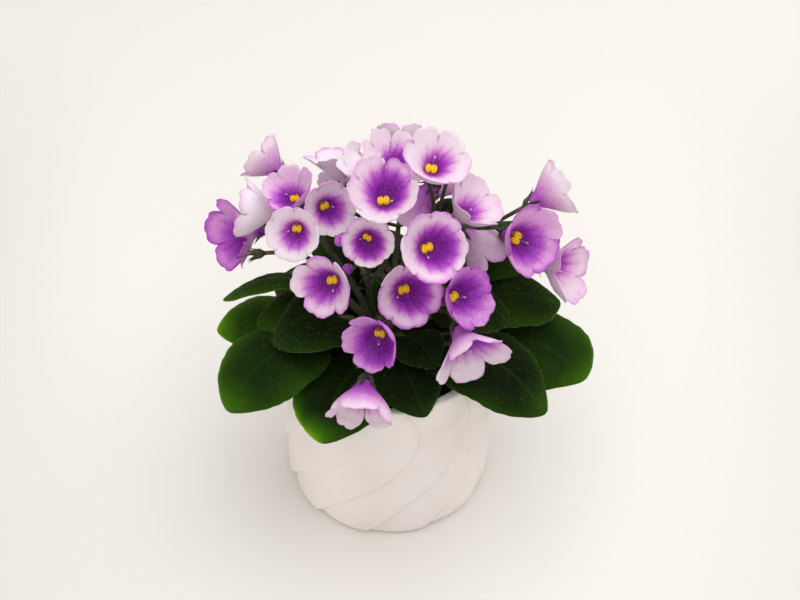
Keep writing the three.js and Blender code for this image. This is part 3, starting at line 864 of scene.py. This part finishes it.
def addBlade(skin, blade, rows, columns, thickness, dark, light):
    top, under = [], []
    for i in range(rows + 1):
        u = 1 - (1 - i / rows) ** 1.45
        topRow, underRow = [], []
        spread = [0.0] if i == rows else [sin((2 * j / columns - 1) * pi / 2) for j in range(columns + 1)]
        for v in spread:
            v = mixed(v, 2 * asin(v) / pi, 0.5)  # edges get closer columns than the middle
            place, normal = blade.surface(min(u, 0.9999), v)
            # painted light: lighter towards the edges and the tip, and on the side that faces away from the
            # crown
            near = max(abs(v) ** 2.6, eased(0.66, 1.0, u))
            edgeLight = near * (0.2 + 0.8 * u ** 1.5) * (0.85 + 0.4 * v * blade.outward(u))
            paint = {"along": u, "across": abs(v), "bright": mixed(dark, light, edgeLight)}
            depth = mixed(leaf["edge"], thickness, 1 - max(abs(v), u ** 6) ** 6)
            topRow.append(skin.dot(place, under=0.0, **paint))
            underRow.append(skin.dot(place - normal * depth, under=1.0, **paint))
        top.append(topRow)
        under.append(underRow)
    for a, b, c, d in zip(top[:-2], top[1:], under, under[1:]):
        for j in range(columns):
            skin.face((a[j], a[j + 1], b[j + 1], b[j]))
            skin.face((c[j], d[j], d[j + 1], c[j + 1]))
        skin.face((a[0], b[0], d[0], c[0]))
        skin.face((a[-1], c[-1], d[-1], b[-1]))
    a, b, tipTop, tipUnder = top[-2], under[-2], top[-1][0], under[-1][0]
    for j in range(columns):
        skin.face((a[j], a[j + 1], tipTop))
        skin.face((b[j], tipUnder, b[j + 1]))
        skin.face((top[0][j], under[0][j], under[0][j + 1], top[0][j + 1]))
    skin.face((a[0], tipTop, tipUnder, b[0]))
    skin.face((a[-1], b[-1], tipUnder, tipTop))


def addBladeHairs(hairs, blade, chance, topCount, edgeCount):
    length = leaf["hairLength"]
    for _ in range(topCount):
        u, v = chance.uniform(0.02, 0.97), chance.uniform(-0.97, 0.97)
        foot, normal = blade.surface(u, v)
        ahead, side, _ = blade.frameAt(u)
        lean = ahead * chance.uniform(0.1, 0.7) + side * chance.uniform(-0.3, 0.3)
        tip = foot + (normal + lean).normalized() * length * chance.uniform(0.6, 1.1)
        hairs.hair(foot - normal * 0.1, tip)
    for k in range(edgeCount):
        sign = -1 if k % 2 else 1
        u = 1 - (1 - chance.uniform(0.01, 0.995)) ** 1.2
        foot, normal = blade.surface(u, 0.995 * sign)
        ahead, side, _ = blade.frameAt(u)
        out = side * sign * (1 - u * 0.6) + ahead * (0.25 + u * 0.7)
        way = (out + normal * chance.uniform(-0.3, 0.6)).normalized()
        hairs.hair(foot - normal * 0.15, foot + way * length * chance.uniform(0.7, 1.2))


def addPetiole(skin, hairs, blade, chance, dark, light):
    # round stalk that runs on as a midrib below the blade
    start, end = blade.start, mixed(blade.start, 1, 0.2)
    low = above(-1.7)
    lower = [blade.arc[0], blade.arc[1] + low, blade.arc[2] + low]
    count = 26
    centres, radii = [], []
    for i in range(count + 1):
        t = mixed(end, 1, 0.6) * i / count
        radius = mixed(leaf["petiole"], 1.25, eased(0, end, t)) * (1 - 0.8 * eased(end, 1, t))
        centre = arcPoint(lower, t)
        if t > start:
            place, normal = blade.surface((t - start) / (1 - start), 0.0)
            below = place - normal * (leaf["thickness"] * 0.7 + radius)
            centre = centre.lerp(below, eased(start, end, t))
        centres.append(centre)
        radii.append(radius)
    skin.tube(centres, radii, 12, along=0.0, across=0.0, bright=mixed(dark, light, 0.35), under=0.75)
    for _ in range(leaf["petioleHairs"]):
        i = chance.randrange(1, int(count * 0.6))
        spoke = Vector([chance.uniform(-1, 1) for _ in range(3)]).normalized()
        foot = centres[i].lerp(centres[i + 1], chance.random()) + spoke * radii[i] * 0.8
        hairs.hair(foot, foot + spoke * leaf["hairLength"] * chance.uniform(0.8, 1.3))


def makeLeaves():
    hairs = Skin()
    chance = random.Random(11)
    for index, (name, values) in enumerate(leaves.items()):
        root, bend, tip, stem, width, roll, dark, light = values
        blade = Blade(arcFrom(*root, bend, tip), stem, width, roll, leaf["wave"], index + 1)
        skin = Skin("along", "across", "bright", "under")
        addBlade(skin, blade, leaf["rows"], leaf["columns"], leaf["thickness"], dark, light)
        addPetiole(skin, hairs, blade, chance, dark, light)
        addBladeHairs(hairs, blade, chance, leaf["topHairs"], leaf["edgeHairs"])
        makePiece("leafBlade_" + name, skin, [leafSkin], ["leaf_" + name])
    makePiece("leafHairs", hairs, [hairSkin])


makeLeaves()
print("stage: leaves made")


# crown: short neck with the small leaves of the heart

def makeCrown():
    skin = Skin("along", "across", "bright", "under")
    hairs = Skin()
    chance = random.Random(21)
    rings = []
    for inset, height in crown["profile"]:
        ridge = crown["ridge"] if crown["ridgeFrom"] < height < crown["ridgeTo"] else 0
        ring = []
        for k in range(36):
            place = heading(10 * k) * (crown["radius"] - inset + ridge * sin(radians(60 * k))) + above(height)
            ring.append(skin.dot(place, along=0.0, across=0.0, bright=0.25, under=0.8))
        rings.append(ring)
    skin.loft(rings)
    for index, (bearing, reach, rise, width) in enumerate(crown["heart"]):
        path = [(2, -4), (3, rise * 0.7), (reach, rise)]
        arc = [heading(bearing) * far + above(crown["top"] + height) for far, height in path]
        blade = Blade(arc, 0.03, width, 0, 0.3, 40 + index)
        addBlade(skin, blade, 22, 14, 1.0, 0.2, 0.5)
        addBladeHairs(hairs, blade, chance, 160, 120)
    for _ in range(crown["hairs"]):
        spoke = heading(chance.uniform(0, 360), chance.uniform(-20, 50))
        flat = Vector((spoke.x, spoke.y, 0)).normalized() * (crown["radius"] - 0.25)
        foot = flat + above(chance.uniform(crown["hairFrom"], crown["hairTo"]))
        hairs.hair(foot, foot + spoke * chance.uniform(0.7, 1.2))
    makePiece("crownStem", skin, [leafSkin], ["crown"])
    makePiece("crownHairs", hairs, [hairSkin])


makeCrown()
print("stage: crown made")


# blooms

bloom = {
    "depth": 1.3,
    "petal": 0.7,
    "petalEdge": 0.4,
    "lobesFrom": 0.64,
    "lobeBounds": [90, 28, -50, -130, -208, -270],
    "notches": [1.0, 0.75, 0.7, 0.7, 0.75],
    "perLobe": 22,
    "ruffle": 0.022,
    "frill": 0.017,
    "sweep": 5.0,  # degrees that lobes overlap at the edge
    "tilt": 0.04,
    "spoon": 0.07,
    "curls": (-0.03, 0.10),
    "folds": (-0.05, 0.05),
    "margins": (-0.04, 0.36),
    "violetShift": 0.20,
    "violetFade": (-0.27, 0.12),
    "lavender": 0.46,
    "throatFloor": 0.33,
    # half section from foot to edge, radius and height: tube, then the lobes of a closed and of an open bloom
    "tube": [(0.15, -1.0), (0.235, -0.93), (0.25, -0.74)],
    "cup": [(0.45, -0.52), (0.72, -0.26), (0.89, -0.07), (0.97, 0.08)],
    "flat": [(0.48, -0.51), (0.79, -0.27), (0.97, -0.12), (1.06, -0.06)],
    # rings up the outside, and down the inside as far as the throat
    "rings": [
        0.1, 0.13, 0.17, 0.21, 0.25, 0.3, 0.36, 0.42, 0.48, 0.54,
        0.6, 0.66, 0.72, 0.78, 0.83, 0.88, 0.92, 0.95, 0.975, 1.0,
    ],
    "throat": 0.37,
    # anthers, ovary and style of a bloom of this radius
    "radius": 16.5,
    "antherHalf": (1.7, 2.45, 2.3),
    "antherAside": 1.42,
    "antherHeight": -0.68,  # share of the depth, from the mouth
    "ovaryHalf": (1.9, 1.9, 2.0),
    # reach, drop, height as a share of the depth
    "style": [(0.5, 0.8, -0.80), (3.6, 0.5, -0.66), (5.0, 0.0, -0.47)],
    "styleRadii": [1.2, 1.0, 0.8, 0.5, 0.3, 0.24, 0.22, 0.22, 0.22, 0.26, 0.42, 0.50, 0.34],
}

# mouth, facing, turn, size, openness, depth of the cuts between lobes,
# how far the violet reaches, where it reaches furthest, lavender of the pale part, way the style leans
blooms = {
    "01": ((-2, -9, 205), (-96, 64), 0, 33, 0.7, 1.2, 0.63, 50, 0.26, -15),
    "02": ((24, 11, 208), (-67, 61), -30, 32, 0.6, 1.1, 0.52, -10, 0.1, 80),
    "03": ((-26, 0, 185), (-66, 29), 20, 26, 0.5, 0.9, 0.6, -60, 0.12, -40),
    "04": ((-44, -16, 183), (-99, 25), 0, 26, 0.7, 0.9, 0.58, -80, 0.06, 200),
    "05": ((-8, -22, 183), (-85, 26), 0, 24, 0.6, 1, 0.66, -80, 0.08, 185),
    "06": ((-30, -32, 163), (-112, 23), -8, 31, 0.6, 1.5, 0.58, -140, 0.34, -55),
    "07": ((11, -36, 162), (-76, 29), 0, 31, 0.6, 1.15, 0.64, -30, 0.3, 215),
    "08": ((23, -31, 188), (-68, 40), -10, 32, 0.7, 0.8, 0.65, -20, 0.25, -95),
    "09": ((-7, -55, 148), (-109, 15), -5, 30, 0.3, 1.4, 0.67, -60, 0.85, -70),
    "10": ((71, -8, 171), (-55, 26), 30, 35, 0.4, 1, 0.58, -75, 0.66, -80),
    "11": ((44, 9, 182), (-17, 54), 30, 30, 0.6, 1.25, 0.51, -40, 0.22, -60),
    "12": ((89, 29, 176), (18, 22), 0, 31, 0.6, 1.3, 0.45, 0, 0.12, -60),
    "13": ((94, 1, 143), (-38, 14), 0, 34, 0.7, 1.5, 0.49, 0, 0.36, -60),
    "14": ((54, 12, 143), (-19, -37), 0, 33, 0.6, 1.7, 0.5, 0, 0.46, -60),
    "15": ((40.5, -34, 158.4), (-44, 30), 30, 31, 0.5, 1.15, 0.6, 0, 0.95, -60),
    "16": ((43, -56.6, 134.5), (-68, -15), 0, 36, 1.0, 1.9, 0.64, 90, 0.2, -60),
    "17": ((-12, -74, 117), (-98, -25), 180, 31, 0.5, 1.5, 0.48, -90, 0.12, -60),
    "18": ((-47, 11, 189), (-121, 63), 0, 26, 0.6, 1.3, 0.60, -90, 0.55, 190),
    "19": ((-65, 47, 181), (151, 24), 36, 26, 0.5, 1.4, 0.55, 0, 0.12, -60),
    "20": ((-71, 16, 172), (176, 7), 0, 30, 0.5, 1.3, 0.4, 0, 0.02, -60),
    "21": ((-83, 28, 142), (-140, 16), 0, 36, 0.8, 1.6, 0.58, -90, 0.85, -60),
    "22": ((-26, 39, 190), (111, 63), 0, 29, 0.5, 1.5, 0.45, 0, 0.12, -60),
    "23": ((-12, 17, 200), (113, 81), 0, 24, 0.3, 1.3, 0.6, 0, 0.1, -60),
    "24": ((3, 36, 194), (-19, 82), 0, 28, 0.6, 1.4, 0.6, 0, 0.3, -60),
    "25": ((7, 61, 186), (90, 43), 0, 28, 0.6, 1.3, 0.55, 0, 0.1, -60),
    "26": ((11, 24, 162), (-165, -50), 36, 32, 0.8, 1.7, 0.7, 0, 0.5, -60),
    "27": ((-22, 64, 156), (115, 15), 0, 29, 0.6, 1, 0.64, -90, 0.2, -60),
    "28": ((30, 60, 158), (60, 20), 0, 29, 0.6, 1.1, 0.64, -60, 0.3, -60),
    "29": ((5, 86, 140), (92, 5), 0, 30, 0.5, 1, 0.62, -120, 0.2, -60),
}

# blooms with lobes that fold forward on one side: where, how far
folded = {
    "01": (205, 0.20), "02": (225, 0.28), "06": (12, 0.34), "07": (140, 0.22),
    "08": (180, 0.14), "09": (15, 0.40), "10": (190, 0.20), "11": (215, 0.34),
    "13": (190, 0.34), "15": (185, 0.26), "18": (-20, 0.40), "21": (20, 0.40),
}

# blooms with fuller sides than the others
bellied = {"12": 0.10, "14": 0.06, "16": 0.08, "17": 0.22, "19": 0.08, "20": 0.08, "26": 0.05}

# blooms whose outside shows its own violet: how far it reaches, how strong it is
flushed = {
    "12": (0.80, 0.68), "13": (0.60, 0.42), "14": (0.50, 0.34), "16": (0.95, 0.58), "17": (0.95, 0.84),
    "19": (0.90, 0.62), "20": (0.50, 0.30), "22": (0.55, 0.14), "23": (0.50, 0.40), "26": (0.95, 0.56),
}


class Seat:  # a bloom's own axes: x to its right and y up as seen from its front, z out of its mouth
    def __init__(self, at, face, turn=0.0):
        self.centre = Vector(at)
        self.out = heading(*face)
        self.side = -levelSide(self.out)
        self.up = self.out.cross(self.side).normalized()
        self.spin(turn)

    def spin(self, turn):
        around = Matrix.Rotation(radians(turn), 3, self.out)
        self.side, self.up = around @ self.side, around @ self.up

    def place(self, x, y, z):
        return self.centre + self.side * x + self.up * y + self.out * z

    def polar(self, angle, reach, z, aside=0.0):
        # aside is to the left of the direction that the angle gives
        x = reach * cos(angle) - aside * sin(angle)
        y = reach * sin(angle) + aside * cos(angle)
        return self.place(x, y, z)

    def shifted(self, turn, angle, reach):
        other = copy(self)
        other.centre = self.polar(angle, reach, 0)
        other.spin(turn)
        return other


def petalSection(openness, share, belly=0.0):
    cup, flat = bloom["tube"] + bloom["cup"], bloom["tube"] + bloom["flat"]
    stations = [i / (len(cup) - 1) for i in range(len(cup))]
    section = []
    for k in (0, 1):
        values = [mixed(c[k], f[k], openness) for c, f in zip(cup, flat)]
        section.append(curveThrough(stations, values, share))
    section[0] += belly * sin(pi * min(1.0, max(0.0, (share - 0.2) / 0.62)))
    return section


def bloomEdge(seed, cut):
    # around the mouth, counterclockwise: what each column of the corolla needs
    draw = drawer(seed)
    draws = [(0.96 + 0.1 * next(draw), 0.14 * next(draw) - 0.04) for _ in range(5)]
    chance = random.Random(100 + seed)
    edge = []
    for lobe in range(5):
        before, (reach, bend), after = [draws[(lobe + k) % 5] for k in (-1, 0, 1)]
        phase = chance.uniform(0, 2 * pi)
        curl = chance.uniform(*bloom["curls"])
        margin = chance.uniform(*bloom["margins"])
        folds = [chance.uniform(*bloom["folds"]) for _ in range(2)]
        for k in range(bloom["perLobe"]):
            share = k / bloom["perLobe"]
            share = mixed(share, 0.5 - 0.5 * cos(pi * share), 0.55)
            far = abs(2 * share - 1)
            first = share < 0.5
            other = before if first else after
            tilt = bloom["tilt"] * (2 * share - 1) + folds[share > 0.5] * far
            toward = 0.5 * eased(0.72, 1.0, far)
            notch = cut * bloom["notches"][lobe if first else (lobe + 1) % 5]
            ripple = sin(5 * pi * share + phase) * (1 - far ** 4)
            edge.append({
                "angle": radians(mixed(bloom["lobeBounds"][lobe], bloom["lobeBounds"][lobe + 1], share)),
                "sweep": 0.0 if k == 0 else radians(bloom["sweep"]) * (1 - 2 * share) * far ** 2,
                "tilt": 0.0 if k == 0 else tilt * far,
                "cut": notch * far ** mixed(4.2, 2.4, cut - 0.8),
                "curl": curl,
                "margin": margin,
                "reach": mixed(reach, other[0], toward),
                "bend": mixed(bend, other[1], toward) + 0.03 * sin(2 * pi * share),
                "wave": ripple + 0.5 * sin(11 * pi * share + 2 * phase),
                "far": far,
            })
    return edge[::-1]


def addCorolla(skin, seat, radius, openness, belly, cut, violetReach, aim, lavender, fold, flush, seed):
    depth = radius * bloom["depth"]
    edge = bloomEdge(seed, cut)
    foldAim, foldHeight = fold
    flushReach, flushAmount = flush
    lobeShare = 1 - bloom["lobesFrom"]

    def ring(share, inside):
        dots = []
        swell = max(0.0, (share - bloom["lobesFrom"]) / lobeShare)
        inset = mixed(bloom["petal"], bloom["petalEdge"], swell) if inside else 0.0
        for column in edge:
            angle, wave, far = column["angle"], column["wave"], column["far"]
            own = share - column["cut"] * swell * lobeShare
            ownSwell = swell * max(0.0, 1 - column["cut"])
            r, z = petalSection(openness, own, belly)
            rNear, zNear = petalSection(openness, max(0.0, own - 0.08), belly)
            stepOut, stepUp = (r - rNear) * radius, (z - zNear) * depth
            run = hypot(stepOut, stepUp) or 1.0
            reach = r * radius * mixed(1, column["reach"], swell) - inset * stepUp / run
            height = z * depth + inset * stepOut / run
            bend = column["bend"] + bloom["spoon"] * (far ** 2 - 0.5)
            ripple = bloom["ruffle"] * wave * swell + column["tilt"] * ownSwell
            curl = column["curl"] * eased(0.8, 1.0, share) ** 2 * (1 - far ** 4)
            height += radius * (swell * (bend + ripple) - curl)
            swept = angle + column["sweep"] * swell * swell
            lean = foldHeight * radius * ownSwell * max(0.0, cos(swept - foldAim)) ** 2
            reach = (reach - lean * 0.25) * (1 + bloom["frill"] * swell ** 3 * wave)
            if inside:
                end = violetReach * (1 + bloom["violetShift"] * cos(angle - aim))
                low, high = bloom["violetFade"]
                mask = 1 - eased(end + low, end + high, own + 0.02 * wave)
                margin = column["margin"] * eased(0.7, 1.0, share)
            else:
                mask = (1 - eased(0.14, flushReach, own)) * flushAmount
                margin = 0.6 * column["margin"] * eased(0.75, 1.0, share)
            violet = mask + (1 - mask) * (lavender * bloom["lavender"] + margin)
            dots.append(skin.dot(
                seat.polar(swept, reach, height + lean),
                violet=violet if inside else violet * eased(0.0, 0.16, own),
                run=share,
                inside=1.0 if inside else 0.0,
                aroundX=cos(angle) + seed * 3.7,
                aroundY=sin(angle),
            ))
        return dots

    inner = [share for share in bloom["rings"][::-1] if share > bloom["throat"]] + [bloom["throat"]]
    rings = [ring(share, False) for share in bloom["rings"]] + [ring(share, True) for share in inner]
    floor = seat.place(0, 0, petalSection(openness, bloom["throatFloor"])[1] * depth)
    rings.append([skin.dot(floor, violet=1.0, run=0.3, inside=1.0, aroundX=seed * 3.7)])
    skin.loft(rings, 0)


# an egg from pole to pole: level, and how far round it reaches there
eggLevels = [(-cos(pi * i / 8), sin(pi * i / 8) if 0 < i < 8 else 0.0) for i in range(9)]


def addAnther(skin, seat, x, y, z, half):
    # an egg with a groove down its face
    rings = []
    for level, around in eggLevels[::-1]:
        if not around:
            rings.insert(0, [skin.dot(seat.place(x, y + level * half[1], z), violet=0.2)])
            continue
        ring = []
        for k in range(16):
            angle = pi * k / 8
            front = sin(angle)
            crease = exp(-(cos(angle) / 0.3) ** 2) * max(0.0, front)
            swell = around * (1 - 0.32 * crease)
            right, deep = half[0] * swell * cos(angle), half[2] * swell * front
            place = seat.place(x + right, y + half[1] * level, z + deep)
            # painted shade: darker in the groove and on the back half of the anther
            ring.append(skin.dot(place, violet=0.75 * crease + 0.25 * max(0.0, -front)))
        rings.insert(0, ring[::-1])
    skin.loft(rings, 1)


def addEgg(skin, seat, z, half, finish=0, **paint):
    rings = []
    for level, around in eggLevels:
        height = z + level * half[2]

        def place(angle):
            reach = around * (1 + 0.06 * cos(5 * angle))
            return seat.place(half[0] * reach * cos(angle), half[1] * reach * sin(angle), height)

        rings.append(skin.ring(14 if around else 1, place, **paint))
    skin.loft(rings, finish)


def addBloomHeart(skin, seat, radius, aim, lean, seed):
    scale = radius / bloom["radius"]
    depth = radius * bloom["depth"]
    low = bloom["antherHeight"] * depth
    chance = random.Random(500 + seed)
    heart = seat.shifted(chance.uniform(-35, 35), aim, 0.5 * scale)
    for sign in (-1, 1):
        half = [size * scale * chance.uniform(0.93, 1.05) for size in bloom["antherHalf"]]
        lift, push = chance.uniform(-0.4, 0.4) * scale, chance.uniform(-0.5, 0.5) * scale
        addAnther(skin, heart, sign * bloom["antherAside"] * scale, push, low + lift, half)
    for sign in (-1, 1):  # short filaments under the anthers
        foot = heart.place(sign * 0.9 * scale, -0.6 * scale, -0.80 * depth)
        middle = heart.place(sign * 1.7 * scale, -2.2 * scale, -0.74 * depth)
        head = heart.place(sign * 1.4 * scale, -0.4 * scale, low - 0.8 * scale)
        skin.tube(arcPath([foot, middle, head], 6), [0.75 * scale] * 7, 8, 2, run=0.05)
    # ovary beside the anthers, and the style, which leans to one side and ends in a pale dot
    ovary = [size * scale for size in bloom["ovaryHalf"]]
    addEgg(skin, seat.shifted(0, aim, -2.0 * scale), low - 0.9 * scale, ovary, 2, run=0.0)
    arc = []
    for far, drop, share in bloom["style"]:
        arc.append(seat.polar(radians(lean), far * scale, share * depth) - seat.up * drop * scale)
    count = len(bloom["styleRadii"]) - 1
    rings = []
    for i, thick in enumerate(bloom["styleRadii"]):
        ahead = arcSlope(arc, i / count)
        side = ahead.orthogonal().normalized()
        rings.append(skin.hoop(arcPoint(arc, i / count), ahead, side, thick * scale, 8, run=i / count))
    skin.loft(rings, 2)


def makeBlooms():
    for index, (name, values) in enumerate(blooms.items()):
        at, face, turn, size, openness, cut, violetReach, toward, lavender, lean = values
        aim = radians(toward - turn)
        foldAim, foldHeight = folded.get(name, (0, 0.0))
        fold = (radians(foldAim - turn), foldHeight)
        flush = flushed.get(name, (violetReach + 0.12, mixed(0.42, 0.78, lavender)))
        belly = bellied.get(name, 0.0)
        seat, seed = Seat(at, face, turn), index + 1
        skin = Skin("violet", "run", "inside", "aroundX", "aroundY")
        addCorolla(skin, seat, size / 2, openness, belly, cut, violetReach, aim, lavender, fold, flush, seed)
        addBloomHeart(skin, seat, size / 2, aim, lean, seed)
        finishes = [petalSkin, antherSkin, styleSkin]
        makePiece("bloomCorolla_" + name, skin, finishes, ["bloom_" + name])


makeBlooms()
print("stage: blooms made")


# flower stalks: main stalk, a pedicel to each bloom, and calyces with five sepals

stalk = {
    "radius": 1.6,
    "pedicel": 0.85,
    "sepal": 5.4,
    "sepalWidth": 1.25,
    "sepalSteps": 9,
    "budRadius": 6.0,
    "hairLength": 0.95,
    "hairsPerMm": 3.2,
}

# bearing and height of the root, bend, top, blooms that it carries
stalks = {
    "01": ((-80, 109), (0, -16, 120), (0, -25, 130), ("09", "17")),
    "02": ((-130, 109), (-12, -8, 130), (-18, -3, 142), ("06", "04")),
    "03": ((-58, 109), (5, -10, 135), (4, -6, 146), ("07", "08", "05")),
    "04": ((180, 109), (-10, 2, 135), (-8, 6, 158), ("01", "03", "23")),
    "05": ((40, 109), (12, 10, 135), (20, 14, 150), ("02", "11", "26", "14")),
    "06": ((10, 109), (26, 12, 126), (43, 30, 139), ("10", "12", "13")),
    "07": ((-33, 109), (12, -12, 122), (17, -17, 130), ("15", "16")),
    "08": ((150, 109), (-20, 12, 130), (-36, 24, 150), ("18", "19", "20", "21")),
    "09": ((105, 109), (-3, 18, 135), (-4, 28, 152), ("22", "24", "25")),
    "10": ((75, 109), (4, 28, 124), (6, 44, 136), ("27", "28", "29")),
}
# control points of pedicels that bend round other blooms
detours = {"02": (27, 20, 172), "10": (46, 28, 162), "13": (56, 31, 134)}
# spent flowers: stalk, place, facing, size
spentFlowers = [("02", (-77, 0, 154), (-174, -3), 21)]
# buds: stalk, place, facing, half size, green (0) or violet (1), control point of the pedicel
buds = [
    ("05", (28, 8, 176), (-60, 60), (2.1, 2.1, 3.3), 0, None),
    ("02", (-36, -22, 142), (-125, 10), (2.1, 2.1, 3.3), 0, None),
    ("03", (-24.7, -20.3, 180.5), (215, 0), (3.0, 3.4, 4.6), 1, (-13, -3, 168)),
    ("04", (-20, -19.7, 163.8), (-110, 40), (2.6, 2.8, 3.8), 1, None),
    ("03", (-10, -14, 152), (-95, 35), (1.9, 1.9, 2.8), 0, None),
]


def hairyTube(skin, hairs, arc, fromRadius, toRadius, sides, count, chance, green):
    centres = arcPath(arc, count)
    radii = [mixed(fromRadius, toRadius, i / count) for i in range(count + 1)]
    skin.tube(centres, radii, sides, green=green)
    length = sum((b - a).length for a, b in zip(centres, centres[1:]))
    for _ in range(int(length * stalk["hairsPerMm"])):
        i = chance.randrange(count)
        ahead = (centres[i + 1] - centres[i]).normalized()
        spoke = Vector([chance.uniform(-1, 1) for _ in range(3)])
        spoke = (spoke - ahead * spoke.dot(ahead)).normalized()
        foot = centres[i].lerp(centres[i + 1], chance.random()) + spoke * radii[i] * 0.85
        way = (spoke + ahead * chance.uniform(-0.2, 0.4)).normalized()
        hairs.hair(foot, foot + way * stalk["hairLength"] * chance.uniform(0.6, 1.2))


def addSepal(skin, hairs, seat, angle, base, fromReach, toReach, chance):
    rings = []
    for i in range(stalk["sepalSteps"] + 1):
        share = i / stalk["sepalSteps"]
        reach = mixed(fromReach, toReach, share ** 1.3) - 0.35 * sin(pi * share)
        height = base - 0.9 + (stalk["sepal"] + 0.7) * share
        half = stalk["sepalWidth"] * (1 - share ** 2.2) + 0.10
        thick = 0.34 * (1 - 0.6 * share)

        def place(turn):
            deep = thick * sin(turn) + 0.25 * half * cos(turn) ** 2
            return seat.polar(angle, reach - deep, height, half * cos(turn))

        rings.append(skin.ring(8, place, green=0.85)[::-1])
        for _ in range(4):
            lean = chance.uniform(-1, 1)
            foot = seat.polar(angle, reach, height, half * lean)
            way = seat.polar(angle, 1, chance.uniform(-0.3, 0.6), lean) - seat.centre
            hairs.hair(foot, foot + way.normalized() * 0.8 * chance.uniform(0.6, 1.2))
    skin.loft(rings)


def addCalyx(skin, hairs, seat, radius, top, detour, spread, chance):
    base = -radius * bloom["depth"] - 0.3
    disc = 0.2 * radius
    neck = seat.place(0, 0, base - 3.4)
    bend = Vector(detour) if detour else neck - seat.out * 0.45 * (neck - top).length
    thick = stalk["pedicel"]
    hairyTube(skin, hairs, [top, bend, neck], thick + 0.1, thick + 0.2, 8, 16, chance, 0.3)
    cup = [
        (1.0, -3.7), (1.15, -3.2), (disc * 0.62 + 0.4, -2.4), (disc + 0.25, -1.3),
        (disc + 0.45, -0.5), (disc + 0.2, 0.0), (disc - 0.4, 0.05),
    ]
    rings = []
    for reach, height in cup:
        lobed = 0.07 * eased(-3, -1, height)

        def place(angle):
            return seat.polar(angle, reach * (1 + lobed * cos(5 * angle)), base + height)

        rings.append(skin.ring(20, place, green=0.6))
    skin.loft(rings)
    for k in range(5):
        tipReach = disc + 0.5 + spread * stalk["sepal"] * 0.62
        addSepal(skin, hairs, seat, 2 * pi * k / 5, base, disc + 0.1, tipReach, chance)


def makeStalks():
    hairs = Skin()
    chance = random.Random(31)
    for name, (root, bend, top, carries) in stalks.items():
        skin = Skin("green", "violet", "run")
        arc = arcFrom(*root, bend, top)
        top = arc[2]
        hairyTube(skin, hairs, arc, stalk["radius"], stalk["radius"] * 0.8, 12, 20, chance, 0.8)
        for key in carries:
            at, face, turn, size = blooms[key][:4]
            addCalyx(skin, hairs, Seat(at, face, turn), size / 2, top, detours.get(key), 1, chance)
        for _, at, face, size in [item for item in spentFlowers if item[0] == name]:
            seat = Seat(at, face)
            addCalyx(skin, hairs, seat, size / 2, top, None, 0.5, chance)
            foot = -size / 2 * bloom["depth"]
            addEgg(skin, seat, foot + 0.2, (1.7, 1.7, 1.9), green=0.75)
            style = [seat.place(x, y, foot + z) for x, y, z in ((0, 0, 1), (0.5, 0.3, 5.5), (0, -1.0, 10.5))]
            skin.tube(arcPath(style, 8), [0.34, 0.3, 0.28, 0.27, 0.26, 0.26, 0.26, 0.4, 0.3], 8, green=0.0)
        for _, at, face, half, finish, detour in [item for item in buds if item[0] == name]:
            seat = Seat(at, face)
            addCalyx(skin, hairs, seat, stalk["budRadius"], top, detour, 0.5, chance)
            foot = 2 - stalk["budRadius"] * bloom["depth"]
            addEgg(skin, seat, foot, half, finish, green=0.9, violet=0.62, run=0.5)
        makePiece("flowerStalk_" + name, skin, [stalkSkin, petalSkin], ["flower_stalk_" + name])
    makePiece("stalkHairs", hairs, [hairSkin])


makeStalks()
print("stage: flower stalks made")
